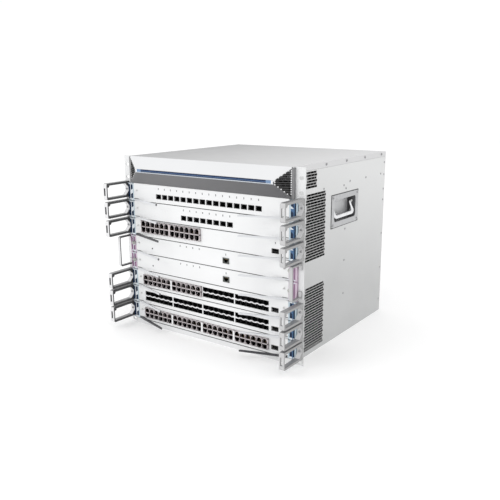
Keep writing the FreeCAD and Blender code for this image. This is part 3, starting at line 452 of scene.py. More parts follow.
# A dark strip along each face's lower edge: a gasket, and partly painted shade in the seam between
# cards.
seam_gasket_and_shade = moulded("conductive_gasket_and_seam_shade", (0.075, 0.077, 0.08), 0.6, 0.0001)
light_pipe = moulded("light_pipe_smoke", (0.10, 0.11, 0.11), 0.2)
captive_nickel = plated("captive_screw_nickel", (0.74, 0.74, 0.73), 0.35, None)
shell_black = moulded("socket_black", (0.012, 0.012, 0.013), 0.45)


def row_centres(card):
    """The middles of the optical ports in the row of card 1 or 2."""
    count = {1: 16, 2: 8}[card]
    return [row_middle + (place - (count - 1) / 2) * row_pitch for place in range(count)]


def gasket_grid(base):
    """A strip along a face's lower edge, which steps up by 5 mm over the notch at each end."""
    across = np.array([-208.5, -196.0, -186.5, 186.5, 196.0, 208.5])
    lift = np.array([5.0, 5.0, 0.0, 0.0, 5.0, 5.0])[:, None]
    half = np.array([0.5, 0.5, 0.8, 0.8, 0.5, 0.5])[:, None]
    strip = np.zeros((6, 4, 3))
    strip[:, :, 0] = across[:, None]
    strip[:, :, 1] = [-0.35, 0.9, 0.9, -0.35]
    strip[:, :, 2] = base + lift + half * [-1.0, -1.0, 1.0, 1.0]
    return strip


def light_places(card):
    """Where a card's light pipes come through its face, across and above its slot's floor."""
    if card in (1, 2):
        return [(x, 32.2) for x in row_centres(card)]
    if card in (4, 5):
        return [(-73.0 + 18.3 * place, 33.0) for place in range(4)] + [(54.3, 31.2)]
    return [(178.3, 31.6)] if card == 3 else []


for card in range(1, 9):
    body = "card_%d" % card
    base = floor(card)
    # The dark strip along the lower edge is partly painted shade for the seam to the card below.
    skin(body + "_gasket", gasket_grid(base)[None], seam_gasket_and_shade, body)
    screw_heads(body + "_captive_screws", [(-199.5, 0.0, base + 24.0), (199.5, 0.0, base + 24.0)],
                (0, -1, 0), 2.2, 1.8, body, captive_nickel)
    lights = light_places(card)
    if lights:
        blocks(body + "_light_pipes",
               [((x - 0.9, -0.25, base + z - 2.0 + 2.1 * part),
                 (x + 0.9, 0.5, base + z - 0.3 + 2.1 * part))
                for x, z in lights for part in (0, 1)], light_pipe, body)
    if card in (4, 5):
        screw_heads(body + "_reset_button", [(-158.3, 0.0, base + 15.0)], (0, -1, 0), 1.8, 0.8,
                    body, light_pipe)

# Port shields. The copper ports of cards 3, 6 and 8 stand in banks of twelve behind stamped
# tin-plated shields that come out 4.5 mm in front of the face. Each opening has a tab notch, up
# in the upper row and down in the lower one, and eight gold contacts inside.

tin = plated("shield_tin_plate", (0.66, 0.61, 0.62), 0.34, None)
gold = plated("contact_gold_plate", (0.22, 0.155, 0.08), 0.3, None)
bank_middles = (-144.2, -56.2, 31.8, 119.8)
copper_banks = {3: (0, 1), 6: (0, 1), 8: (0, 1, 2, 3)}
optic_banks = {6: (2, 3), 7: (0, 1, 2, 3)}
bank_half = 43.4
copper_bar, optic_bar = 2.2, 4.0
port_pitch = 14.2
spring_pitch, spring_width = 1.02, 0.44
column_places = [(column - 2.5) * port_pitch for column in range(6)]


def bank_heights(card):
    """The lower and upper edge of a card's banks; those of card 3 are taller."""
    low, high = (10.5, 37.8) if card == 3 else (8.0, 31.0)
    return floor(card) + low, floor(card) + high


def bank_spans(card, places):
    """The middle, lower and upper edge of each of a card's banks at the given places."""
    return [(bank_middles[place], *bank_heights(card)) for place in places]


def shield_boxes(middle, low, high):
    """One bank's shield: rails above, between and below its rows, and walls between ports."""
    near, far = -4.5, 0.35
    tall = (high - low - copper_bar) / 2
    left, right = middle - bank_half, middle + bank_half
    boxes = [((left, near, z0), (right, far, z1)) for z0, z1 in
             ((low, low + 0.6), (low + tall, high - tall), (high - 0.6, high))]
    boxes += [((x - 0.8, near, low), (x + 0.8, far, high)) for x in
              [middle + place + port_pitch / 2 for place in column_places[:-1]]]
    boxes += [((left, near, low), (middle + column_places[0] - 5.9, far, high)),
              ((middle + column_places[-1] + 5.9, near, low), (right, far, high))]
    return boxes


def tab_boxes(middle, low, high):
    """The two steps in the corners on both sides of each port's tab notch."""
    boxes = []
    for x in [middle + place for place in column_places]:
        for side in (-1, 1):
            for width, depth in ((2.8, 1.9), (1.4, 3.5)):
                x0, x1 = sorted((x + side * 6.0, x + side * (6.0 - width)))
                boxes.append(((x0, -4.3, high - 0.5 - depth), (x1, 0.3, high - 0.5)))
                boxes.append(((x0, -4.3, low + 0.5), (x1, 0.3, low + 0.5 + depth)))
    return boxes


def contact_boxes(middle, low, high):
    """Eight springs a port, on the side away from its tab: up from the sill, or hanging."""
    tall = (high - low - copper_bar) / 2
    boxes = []
    for x in [middle + place for place in column_places]:
        for spring in range(8):
            left = x + (spring - 3.5) * spring_pitch - spring_width / 2
            right = left + spring_width
            boxes.append(((left, 2.4, high - tall + 0.6), (right, 9.0, high - tall + 2.0)))
            boxes.append(((left, 2.4, low + tall - 2.0), (right, 9.0, low + tall - 0.6)))
    return boxes


for card, places in copper_banks.items():
    body = "card_%d" % card
    for word, boxes_of, finish in (("shields", shield_boxes, tin), ("tab_steps", tab_boxes, tin),
                                   ("contacts", contact_boxes, gold)):
        boxes = sum((boxes_of(*span) for span in bank_spans(card, places)), [])
        blocks("%s_%s" % (body, word), boxes, finish, body)
    edges = [bank_middles[place] + 44.0 for place in places[:-1]]
    low, high = bank_heights(card)
    blocks(body + "_shield_joints", [((x - 2.3, -4.7, low), (x + 2.3, 0.3, high)) for x in edges],
           tin if card == 3 else card_coat, body)

# Optical cages. Cards 6 and 7 take small optical modules in two long rows a bank. Thin sheet
# dividers stand between the ports. On the bar between the rows lie small dark three-sided
# windows, which point down from each upper port and up from each lower one.


def divider_boxes(middle, low, high):
    """The thin walls between the ports of both rows of a bank."""
    tall = (high - low - optic_bar) / 2
    edges = [middle + place + port_pitch / 2 for place in column_places[:-1]]
    rows = ((low + 0.5, low + tall), (high - tall, high - 0.5))
    return [((x - 0.25, 0.75, z0), (x + 0.25, 15.0, z1)) for x in edges for z0, z1 in rows]


def window_grids(middle, low, high):
    """Three-sided prisms along y whose base lies along an edge of the bar between the rows."""
    tall = (high - low - optic_bar) / 2
    prisms = []
    for base, tip, shift in ((high - tall + 0.05, high - tall - 1.4, 0.0),
                             (low + tall - 0.05, low + tall + 1.4, port_pitch / 2)):
        shape = np.array([[-4.2, 0.0, base], [4.2, 0.0, base], [1.2, 0.0, tip], [-1.2, 0.0, tip]])
        for place in column_places[:6 if shift == 0 else 5]:
            prisms.append([shape + [middle + place + shift, y, 0.0] for y in (-0.25, 0.6)])
    return prisms


for card, places in optic_banks.items():
    body = "card_%d" % card
    spans = bank_spans(card, places)
    boxes = sum((divider_boxes(*span) for span in spans), [])
    blocks(body + "_port_dividers", boxes, shell_black, body)
    skin(body + "_port_windows", np.array(sum((window_grids(*span) for span in spans), [])),
         shell_black, body)
    edges = [bank_middles[place] - 44.0 for place in places if place > 0]
    low, high = bank_heights(card)
    blocks(body + "_cage_joints", [((x - 1.2, -0.3, low), (x + 1.2, 0.4, high)) for x in edges],
           card_coat, body)

# Lone ports. Cards 1 and 2 have one row of optical ports, each in a thin black collar; the
# supervisor cards have one network jack each in a stepped grey bezel, and four cards have a
# small console socket at their right end.


def collar_boxes(x0, x1, z0, z1, near, far, thick):
    """Four thin walls round the inside of a window."""
    return [((x0, near, z0), (x0 + thick, far, z1)), ((x1 - thick, near, z0), (x1, far, z1)),
            ((x0, near, z0), (x1, far, z0 + thick)), ((x0, near, z1 - thick), (x1, far, z1))]


for card in (1, 2):
    body = "card_%d" % card
    base = floor(card)
    boxes = sum((collar_boxes(x - 7.4, x + 7.4, base + 9.5, base + 20.0, -0.4, 0.3, 0.9)
                 for x in row_centres(card)), [])
    blocks(body + "_port_collars", boxes, shell_black, body)
    gaps = [x + row_pitch / 2 for x in row_centres(card)[:-1]]
    blocks(body + "_cage_walls",
           [((x - 2.2, 1.8, base + 10.0), (x + 2.2, 17.6, base + 19.5)) for x in gaps],
           shell_black, body)

jack_middle = 54.7
jack_grey = moulded("jack_dark_grey", (0.11, 0.12, 0.11), 0.35)
for card in (3, 6, 7, 8):
    body = "card_%d" % card
    base = floor(card)
    boxes = collar_boxes(169.6, 186.4, base + 10.2, base + 19.8, -0.6, 0.3, 1.0)
    boxes.append(((171.2, 1.0, base + 13.4), (184.8, 12.0, base + 14.4)))
    blocks(body + "_console_collar", boxes, shell_black, body)
for card in (4, 5):
    body = "card_%d" % card
    base = floor(card)
    boxes = collar_boxes(46.6, 62.8, base + 11.8, base + 23.9, -1.6, 1.4, 1.5)
    for side in (-1, 1):
        for width, depth in ((3.4, 2.4), (1.7, 4.2)):
            x0, x1 = sorted((jack_middle + side * 6.7, jack_middle + side * (6.7 - width)))
            boxes.append(((x0, -1.4, base + 13.2), (x1, 1.4, base + 13.2 + depth)))
    blocks(body + "_jack_bezel", boxes, jack_grey, body)
    pins = [jack_middle + (spring - 3.5) * spring_pitch for spring in range(8)]
    half = spring_width / 2
    blocks(body + "_jack_contacts",
           [((x - half, 0.4, base + 20.0), (x + half, 8.0, base + 21.8)) for x in pins],
           gold, body)

# Card boards. Behind each face stands a green circuit board with its soldered port shells,
# black inside; a finned black anodised heat sink, chips and coated capacitors stand behind them.

bar_tones = {6: (0.80, 0.80, 0.81), 7: (0.80, 0.80, 0.81)}


def card_parts(card):
    """A finish for one board: its mask, and by height and place its shells, sink and plugs."""
    top = (floor(card) + 8.0) * MM

    def shells(board, traces):
        above = board.z > top + 0.05 * MM
        front = board.y < front_y + 27.0 * MM
        inside = board.y > front_y + 0.45 * MM
        tinned = (above * front).mixed(traces, bar_tones.get(card, (0.30, 0.29, 0.30)))
        lined = (above * front * inside).mixed(tinned, (0.006, 0.006, 0.007))
        dark = above * (board.y > front_y + 60.0 * MM)
        board.set(Base_Color=dark.mixed(lined, (0.018, 0.018, 0.02)))
        board.set(Metallic=above * front * (1.0 - inside) * (0.1 if card in bar_tones else 0.9))
    return solder_mask("card_%d_board_mask" % card, shells)


chip_black = moulded("chip_epoxy_black", (0.016, 0.016, 0.018), 0.4)
can_silver = plated("capacitor_can", (0.62, 0.62, 0.64), 0.28, None)


def turned(axis, along, radius, count):
    """Circles of count points about x, y or z (axis 0, 1 or 2), one at each place along it."""
    turn = np.linspace(0, 2 * np.pi, count + 1)[:-1]
    radius = np.reshape(radius, (len(along), -1))
    first, second = [other for other in range(3) if other != axis]
    shape = np.empty((len(along), count, 3))
    shape[..., axis] = np.array(along)[:, None]
    shape[..., first] = radius * np.cos(turn)
    shape[..., second] = radius * np.sin(turn)
    return shape


def can_grids(places, radius, tall, z):
    """Upright cans with stations at the foot, the wall, the rolled rim and the top."""
    rim = np.array([0.9, 1.0, 1.0, 0.93, 0.8])
    rise = np.array([0.0, 0.06, 0.93, 1.0, 1.0])
    shape = turned(2, tall * rise, radius * rim, 14)
    return np.array([shape + [x, y, z] for x, y in places])


for card in range(1, 9):
    body = "card_%d" % card
    top = floor(card) + 8.0
    dress(card_parts(card), body + "_board")
    chips = [(-150, 92, 34, 34), (-88, 96, 28, 28), (82, 96, 28, 28), (142, 92, 34, 34),
             (-136, 168, 22, 16), (-98, 196, 18, 18), (92, 196, 18, 18), (132, 168, 22, 16),
             (-160, 214, 14, 20), (154, 214, 14, 20), (-70, 228, 20, 12), (50, 228, 20, 12)]
    blocks(body + "_chips", [((x, y, top - 0.2), (x + wide, y + deep, top + 2.4))
                             for x, y, wide, deep in chips], chip_black, body)
    cans = [(side * x, y) for side in (-1, 1) for x in (60, 74, 88) for y in (262, 276)]
    skin(body + "_capacitors", can_grids(cans, 4.0, 9.0, top), can_silver, body)

# Ejector levers. Each is a white glass-filled moulding with a long tapered arm; its tall head
# has sunk fields in blue, or in mauve on the two supervisor cards, split by a slanted thumb rib.
# The lighter rim and edge tones of the heads are painted highlights and the dark of the sunk
# fields is partly painted shade; the arms of card 8, the left arm of card 3 and the tips of all
# left arms are painted dark as shade. The supervisor cards' levers also carry a knurled thumb
# screw.


def lever_finish(name, sunk, rim, bridge, edge, arms):
    """White plastic with a tinted head: colours on sunk floors, rims and edges. The rim and edge
    tones are painted highlights and the dark sunk tone is partly painted shade. The pocket walls
    take the rim tone on the left levers and the sunk tone on the right ones, as painted light.

    A point of the head is told by its distance from the middle, its depth behind the card faces
    and its height in the slot, the remainder of the height above the lowest slot by the pitch.
    """
    lever = Finish(name, 0.34, specular=0.35)
    lever.set(Base_Color=lever.noise(30.0, 2.0).mixed((0.70, 0.75, 0.79), (0.76, 0.80, 0.84)))
    out = abs(lever.x) / MM
    depth = (lever.y - front_y) / MM
    height = (lever.z / MM - lowest_floor) % slot_pitch
    right = lever.x > 0.0
    head = out > 209.7
    # Painted highlight: the inner strip of each head takes the pale edge tone, and so does the
    # outer strip on the left levers; on the right ones that strip takes the sunk tone.
    lever.over(head * (out < 212.8), edge)
    lever.over(head * out.between(225.0, 229.0), right.mixed(sunk, edge))
    lever.over(out.between(219.2, 220.9) * right, bridge)
    lever.over(out.between(212.8, 219.3) * right * height.between(13.5, 22.0), bridge)
    # The sunk floors take the dark sunk tone, partly painted shade. The pocket walls take the sunk
    # tone on the right levers and the rim tone, a painted highlight, on the left ones.
    lever.over(head * depth.between(1.5, 1.7) * (lever.ny < -0.5), sunk)
    lever.over(head * depth.between(0.1, 1.55) * (abs(lever.nx) > 0.5) * out.between(209.8, 227.5),
               right.mixed(sunk, rim))
    left_arm, right_arm = arms
    reach = out < 208.8
    lever.over(reach * (1.0 - right), left_arm)
    lever.over(reach * right, right_arm)
    # Painted shade: the tips of the left arms are painted near black.
    lever.over((1.0 - right) * (out < 113.5), (0.05, 0.05, 0.055))
    lever.set(Roughness=lever.noise(120.0, 2.0) * 0.12 + 0.28)
    return lever.bump(lever.noise(1400.0, 1.0), 0.00003, 0.4)


pale = (0.66, 0.67, 0.69)
# Painted shade: this near black stands for the shade on the arms of card 8 and the left arm of card
# 3.
dark = (0.05, 0.05, 0.055)
# Tints in order: sunk floors (partly painted shade), rims and edges (painted highlights), and the
# thumb rib.
blue_tints = ((0.007, 0.024, 0.065), (0.17, 0.29, 0.46), (0.06, 0.14, 0.28), (0.50, 0.60, 0.66))
mauve_tints = ((0.36, 0.22, 0.34), (0.52, 0.38, 0.50), (0.47, 0.35, 0.45), (0.64, 0.53, 0.62))
for cards, name, tints, arms in (((4, 5), "lever_mauve", mauve_tints, (pale, pale)),
                                 ((3,), "lever_blue_shaded_left_arm", blue_tints, (dark, pale)),
                                 ((8,), "lever_blue_shaded_arms", blue_tints, (dark, dark)),
                                 ((1, 2, 6, 7), "lever_blue", blue_tints, (pale, pale))):
    dress(lever_finish(name, *tints, arms),
          *["card_%d_lever_%s" % (card, side) for card in cards for side in ("left", "right")])


def knob_grids(x, z):
    """A knurled knob along y: a circle of 36 points whose odd ones stand in over the grip."""
    radius = np.array([3.4, 3.6, 4.3, 4.3, 3.9, 2.6])[:, None]
    ridge = np.array([0.0, 0.0, 0.3, 0.3, 0.0, 0.0])[:, None] * (np.arange(36) % 2)
    shape = turned(1, [0.3, -0.6, -1.0, -5.6, -6.2, -6.5], radius - ridge, 36)
    return (shape + [x, 0.0, z])[None]


knob_nickel = plated("knob_nickel", (0.52, 0.52, 0.50), 0.3, None)
for card in (4, 5):
    for side, word in sides:
        body = "card_%d_lever_%s" % (card, word)
        skin(body + "_knob", knob_grids(side * 214.4, floor(card) + 22.5), knob_nickel,
             body)

# Cable rings and loops. Grey mouldings screwed to the ears; patch cables run through them to the
# side of the rack. A ring has a slit front bar and gussets at its foot; a loop stands on two feet.


def arc(y, z, radius, start, steps=6):
    """Points of a quarter circle in the plane of y and z, from an angle on."""
    turn = np.radians(np.linspace(start, start + 90, steps + 1))
    return np.stack([y + radius * np.cos(turn), z + radius * np.sin(turn)], axis=-1)


def line(first, last, steps=6):
    return np.linspace(first, last, steps + 1)


def bar_grid(outer, inner, x0, x1, edge0, edge1):
    """A bar between two outlines in y and z, from x0 to x1, with its long edges cut off.

    At each station the section is the rectangle of outer + t (inner - outer) and x, whose four
    corners are cut by an edge's width along both.
    """
    span = inner - outer
    unit = span / np.linalg.norm(span, axis=1, keepdims=True)
    rows = []
    for place, x, cut in ((outer, x0 + edge0, 0.0), (outer, x0, edge0), (inner, x0, -edge0),
                          (inner, x0 + edge0, 0.0), (inner, x1 - edge1, 0.0),
                          (inner, x1, -edge1), (outer, x1, edge1), (outer, x1 - edge1, 0.0)):
        flat = place + unit * cut
        rows.append(np.column_stack([np.full(len(flat), x), flat]))
    return np.stack(rows, axis=1)


def ring_outlines(low, high):
    """The ring's outer and inner edge from below the slit, round by the foot, to above it."""
    front, rear, foot = -64.0, 5.8, 2.6
    outer = np.concatenate([[(front, low + 10.1)], arc(front + 5, low + 5, 5, 180),
                            arc(rear - 0.8, low + 0.8, 0.8, 270),
                            arc(rear - 0.8, high - 0.8, 0.8, 0),
                            arc(front + 5, high - 5, 5, 90), [(front, high - 10.1)]])
    inner = np.concatenate([[(front + 4, low + 10.1)], arc(front + 6.5, low + 7.5, 2.5, 180),
                            line((foot - 9, low + 5), (foot, low + 14)),
                            line((foot, high - 14), (foot - 9, high - 5)),
                            arc(front + 6.5, high - 7.5, 2.5, 90), [(front + 4, high - 10.1)]])
    return outer, inner


def loop_outlines(low, high):
    """The loop's outer and inner edge, from the end of its lower foot round to the upper one."""
    front, rear = -32.0, 5.8
    outer = np.concatenate([[(rear, high - 14)], arc(rear - 0.6, high - 0.6, 0.6, 0),
                            arc(front + 6, high - 6, 6, 90), arc(front + 6, low + 6, 6, 180),
                            arc(rear - 0.6, low + 0.6, 0.6, 270), [(rear, low + 14)]])
    inner = np.concatenate([[(rear - 3.6, high - 14)], arc(rear - 5.0, high - 5.0, 1.4, 0),
                            arc(front + 6, high - 6, 2.4, 90), arc(front + 6, low + 6, 2.4, 180),
                            arc(rear - 5.0, low + 5.0, 1.4, 270), [(rear - 3.6, low + 14)]])
    return outer[::-1], inner[::-1]


def ring_plastic():
    """Mid grey, with painted light by facing: front faces painted paler, more so on the left rings,
    and right-hand sides painted darker on the left rings and lighter on the right ones.
    """
    ring = Finish("ring_grey_painted_light", 0.36)
    ring.set(Base_Color=ring.noise(22.0, 2.0).mixed((0.20, 0.20, 0.205), (0.25, 0.25, 0.255)))
    # Painted light: faces are coloured by which way they face, darker or paler as the light falls
    # on them.
    ring.over((ring.nx > 0.5) * (ring.x < 0.0), (0.06, 0.06, 0.062))
    ring.over((ring.nx > 0.5) * (ring.x > 0.0), (0.30, 0.30, 0.30))
    ring.over(ring.ny < -0.6, (ring.x > 0.0).mixed((0.72, 0.72, 0.73), (0.52, 0.52, 0.525)))
    ring.set(Roughness=ring.noise(90.0, 2.0) * 0.16 + 0.26)
    return ring.bump(ring.noise(1500.0, 1.0), 0.00003, 0.5)


def boss_grid(y, z, radius, x0, x1):
    """A short round boss along x, whose outer circles are a little smaller."""
    wide = radius * np.array([0.88, 1.0, 1.0, 0.88])
    return turned(0, [x0, x0 + 0.5, x1 - 0.5, x1], wide, 14) + [0.0, y, z]


ring_grey_painted_light = ring_plastic()
ring_lifts = {1: 4.1, 2: 2.55, 3: 1.0, 6: 0.0, 7: 0.0, 8: 0.0}
for side, word in sides:
    mirror = (side, 1.0, 1.0)
    rails = []
    bridges = []
    bosses = []
    for card, lift in ring_lifts.items():
        outer, inner = ring_outlines(floor(card) + 2.2 + lift, floor(card) + 39.4 + lift)
        rails.append(bar_grid(outer, inner, 228.9, 232.3, 0.6, 0.0) * mirror)
        rails.append(bar_grid(outer, inner, 237.3, 240.7, 0.0, 0.6) * mirror)
        bridges.append(bar_grid(outer, inner, 232.3, 237.3, 0.0, 0.0) * mirror)
        bosses.append(boss_grid(-58.0, floor(card) + 33.8 + lift, 3.8, 229.3, 240.3) * mirror)
    rail = skin("cable_ring_rails_" + word, np.array(rails), ring_grey_painted_light,
                "chassis", closed=True)
    bridge = skin("cable_ring_bridges_" + word, np.array(bridges), ring_grey_painted_light,
                  "chassis")
    skin("cable_ring_bosses_" + word, np.array(bosses), ring_grey_painted_light, "chassis")
    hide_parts("cable_rings_" + word)
    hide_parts("cable_rings_" + word)
    outer, inner = loop_outlines(142.5, 214.0)
    loop = skin("cable_loop_bow_" + word,
                (bar_grid(outer, inner, 230.4, 237.4, 0.5, 0.5) * mirror)[None], ring_grey_painted_light,
                "chassis")
    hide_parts("cable_loop_" + word)
    screw_heads("cable_ring_screws_" + word,
                [(side * 234.8, 2.6, floor(card) + 20.8 + lift)
                 for card, lift in ring_lifts.items()], (0, -1, 0), 2.6, 1.6)

# Fascia. A hollow moulding, white above its ridge and grey below it, the grey partly painted
# shade on the faces that slope down and painted darker towards the right; a blue translucent
# strip lies along the ridge between thin pale lines, with a painted highlight at both its ends.
# Level grey slats with bright crimped ends close its slanted ends, in front of a black mesh; the
# slats of the left end are painted darker as shade.


def fascia_finish():
    """White above the ridge and grey below it, the grey partly painted shade and painted darker
    towards the right, with a dark flat border at both ends.
    """
    hood = Finish("fascia_white_and_painted_shade_grey", 0.38)
    # Painted shade: the grey below the ridge, going darker from left to right.
    hood.set(Base_Color=hood.x.soft(-0.2, 0.2).mixed((0.175, 0.175, 0.18), (0.105, 0.105, 0.11)))
    hood.over(hood.z > 370.0 * MM,
              hood.noise(12.0, 2.0).mixed((0.68, 0.685, 0.695), (0.73, 0.735, 0.745)))
    hood.over(hood.z.between(364.3 * MM, 365.6 * MM) * (hood.ny < -0.9), (0.60, 0.63, 0.66))
    hood.over(abs(hood.x) > 214.6 * MM, (0.19, 0.19, 0.195))
    hood.set(Roughness=hood.noise(80.0, 2.0) * 0.14 + 0.3)
    return hood.bump(hood.noise(1200.0, 1.0), 0.00003, 0.4)


def strip_finish():
    """Navy edges round a paler blue core, with greyish blue lengths at both ends and a painted
    highlight, near white, on the last 4 mm of each end.
    """
    strip = Finish("light_strip_blue", 0.3, specular=0.3)
    low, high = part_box("light_bar")
    height = (strip.z - low[2]) / (high[2] - low[2])
    core = height.between(0.44, 0.56)
    strip.set(Base_Color=core.mixed((0.006, 0.020, 0.068), (0.10, 0.18, 0.33)))
    strip.over(height < 0.12, (0.55, 0.60, 0.66))
    strip.over((abs(strip.x) > high[0] - 16.0 * MM) * (height > 0.12), (0.18, 0.27, 0.42))
    # Painted highlight: near white on the last 4 mm of each end.
    strip.over(abs(strip.x) > high[0] - 4.0 * MM, (0.80, 0.82, 0.85))
    return strip


dress(fascia_finish(), "fascia")
dress(strip_finish(), "light_bar")
mesh_coat = powder_coat("mesh_black_coat", (0.006, 0.006, 0.006), 0.7)
dress(mesh_coat, "fascia_mesh_left", "fascia_mesh_right")
slat_coat = powder_coat("slat_grey_coat", (0.055, 0.055, 0.057), 0.5)
# Painted shade: the slats of the left end are painted darker.
slat_coat.over(slat_coat.x < 0.0, (0.022, 0.022, 0.024))
crimp_bright = plated("slat_crimp_bright", (0.86, 0.86, 0.87), 0.35, None)
slope = math.hypot(32.7, 17.0)


def on_slope(boxes):
    """Boxes in u along the slope, depth v behind it and height z, turned from x towards y.

    x = 183.9 + (32.7 u - 17 v) / slope and y = -17 + (17 u + 32.7 v) / slope.
    """
    u, v, z = np.moveaxis(box_grids(boxes), -1, 0)
    return np.stack([183.9 + (32.7 * u - 17.0 * v) / slope, -17.0 + (17.0 * u + 32.7 * v) / slope,
                     z], axis=-1)


def slat_rows():
    """The start, end and height of each level slat between the slanted edges of an end."""
    rows = []
    for z in np.arange(342.4, 395.0, 4.4):
        inward = (364.5 - z) / 26.8 if z < 366.0 else (z - 373.0) / 25.05
        start = 1.6 + max(inward, 0.0) * slope
        if start < slope - 7.0:
            rows.append((start, slope - 1.6, z))
    return rows


slats = [((u0, 0.15, z - 0.7), (u1, 0.9, z + 0.7)) for u0, u1, z in slat_rows()]
crimps = [((u, -0.1, z - 1.1), (u + 2.3, 0.6, z + 1.1)) for u0, u1, z in slat_rows()
          for u in (u0, u1 - 2.3)]
for side, word in sides:
    mirror = (side, 1.0, 1.0)
    skin("fascia_slats_" + word, on_slope(slats) * mirror, slat_coat, "chassis")
    skin("fascia_crimps_" + word, on_slope(crimps) * mirror, crimp_bright,
         "chassis")

# Lifting handles. A pressed steel dish in each side wall, screwed on at its corners, holds a
# swinging bail of bright plated steel: two flattened legs drawn out of one round grip.

dish_coat = powder_coat("dish_grey_coat", (0.44, 0.445, 0.455), 0.28)
dish_coat.over(abs(dish_coat.x) < 210.0 * MM, (0.62, 0.625, 0.635))
# Painted shade: the dish's side faces are painted near black.
dish_coat.over((abs(dish_coat.nx) < 0.6) * (abs(dish_coat.x) < 219.8 * MM), (0.09, 0.09, 0.095))
dress(dish_coat, "handle_dish_left", "handle_dish_right")
bright_plate = plated("bail_bright_plate", (0.88, 0.885, 0.90), 0.2, None)
# Painted shade: a thin dark frame round each dish stands for the shade in the gap at its edge.
outline_shade = moulded("dish_outline_painted_shade", (0.03, 0.03, 0.032), 0.6)
boxes = [((half_width, y0, z0), (half_width + 0.5, y1, z1)) for y0, y1, z0, z1 in
         ((147.4, 149.1, 253.5, 325.6), (270.9, 272.6, 253.5, 325.6),
          (149.0, 271.0, 253.5, 255.2), (149.0, 271.0, 323.9, 325.6))]
blocks("dish_outline_shade_strips", both_sides(boxes), outline_shade, "chassis")
on_walls("dish_screws", [(y, z) for y in (154.5, 265.5) for z in (260.5, 318.5)], 221.2, 2.6, 1.1)


bail_x, pivot_height = 211.5, 301.05


def smooth_step(value):
    """0 below 0 and 1 above 1, with a smooth rise of 3 v v - 2 v v v between them."""
    value = np.clip(value, 0.0, 1.0)
    return value * value * (3 - 2 * value)


def bail_grid():
    """A U of round bar that flattens towards its two upper ends and bows out by 4.5 mm.

    The path runs down one leg, round a 9 mm corner, along the grip and up the other leg. Its
    section is an ellipse whose half width goes from 4.4 to 5 and half depth from 2 to 5 as the
    height above the grip falls from 14 mm to 2; the last stations close the ends.
    """
    low, high, left, right, bend = 275.05, 303.0, 167.5, 252.5, 9.0
    path = np.concatenate([line((left, high), (left, low + bend), 8)[:-1],
                           arc(left + bend, low + bend, bend, 180, 8),
                           arc(right - bend, low + bend, bend, 270, 8),
                           line((right, low + bend), (right, high), 8)[1:]])
    before = path - np.concatenate([path[:1] - [[0, -1]], path[:-1]])
    after = np.concatenate([path[1:], path[-1:] + [[0, 1]]]) - path
    way = before / np.linalg.norm(before, axis=1, keepdims=True)
    way = way + after / np.linalg.norm(after, axis=1, keepdims=True)
    way = way / np.linalg.norm(way, axis=1, keepdims=True)
    side = np.stack([-way[:, 1], way[:, 0]], axis=1)
    round_part = 1 - smooth_step((path[:, 1] - low - 2) / 12)
    closing = np.ones(len(path))
    closing[[0, -1]] = 0.35
    closing[[1, -2]] = 0.9
    wide = (4.4 + 0.6 * round_part) * closing
    deep = (2.0 + 3.0 * round_part) * closing
    turn = np.linspace(0, 2 * np.pi, 21)[:-1]
    flat = path[:, None, :] + side[:, None, :] * (wide[:, None] * np.cos(turn))[..., None]
    bow = 4.5 * smooth_step((high - 4.0 - path[:, 1]) / 16)
    x = bail_x + bow[:, None] + deep[:, None] * np.sin(turn)
    return np.concatenate([x[..., None], flat], axis=-1)


def rod_grid(x, y0, y1, z, radius):
    """A pin along y with rounded ends."""
    wide = radius * np.array([0.7, 0.92, 1.0, 1.0, 0.92, 0.7])
    return turned(1, [y0, y0 + 0.15, y0 + 0.5, y1 - 0.5, y1 - 0.15, y1], wide, 16) + [x, 0.0, z]


for side, word in sides:
    mirror = (side, 1.0, 1.0)
    bow = skin("handle_bow_" + word, bail_grid()[None] * mirror, bright_plate,
               "handle_bail_" + word)
    pins = skin("handle_pins_" + word,
                np.array([rod_grid(bail_x, 156.0, 166.0, pivot_height, 2.5),
                          rod_grid(bail_x, 254.0, 264.0, pivot_height, 2.5)]) * mirror,
                bright_plate, "handle_bail_" + word)
    screw_heads("handle_pivot_nuts_" + word,
                [(side * 213.4, y, pivot_height) for y in (167.5, 252.5)],
                (side, 0, 0), 3.3, 2.2, "handle_bail_" + word, captive_nickel)
    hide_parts("handle_bail_" + word)
    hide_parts("handle_bail_" + word)

# Power modules. Each is a plated sheet box whose flanged rear face has exhaust slots, a bow
# handle and a mains inlet with three flat pins; a captive screw and a light pipe sit beside it.

inlet_height = 366.4
module_plate = plated("module_plated_sheet", (0.58, 0.59, 0.6), 0.36)
dress(module_plate, "power_module_left", "power_module_right")
for side, word in sides:
    body = "power_module_" + word
    middle = side * 171.25
    blocks(body + "_inlet_pins", [((middle + x - 1.0, 402.0, inlet_height + z - 2.6),
                                   (middle + x + 1.0, 413.5, inlet_height + z + 2.6))
                                  for x, z in ((-7.0, -2.5), (0.0, 2.5), (7.0, -2.5))],
           captive_nickel, body)
    boxes = collar_boxes(middle - 13.6, middle + 13.6, 356.5, 376.3, 401.0, 418.2, 1.6)
    blocks(body + "_inlet_shroud", boxes, shell_black, body)
    screw_heads(body + "_captive_screw", [(side * 197.5, 417.5, 346.5), (side * 8.5, 417.5, 387.0)],
                (0, 1, 0), 3.4, 3.0, body)
    blocks(body + "_light_pipe", [((side * 197.5 - 1.5, 417.4, 380.0),
                                   (side * 197.5 + 1.5, 417.9, 383.0))],
           light_pipe, body)

# Fan trays and rotors. The trays are coated sheet boxes with captive screws; each rotor is one
# black glass-filled moulding, a hub with a rolled edge and five swept, twisted blades.

dress(powder_coat("tray_powder_coat", (0.60, 0.61, 0.62)), "fan_tray_lower", "fan_tray_upper")
rotor_black = moulded("rotor_black", (0.02, 0.02, 0.022), 0.38)


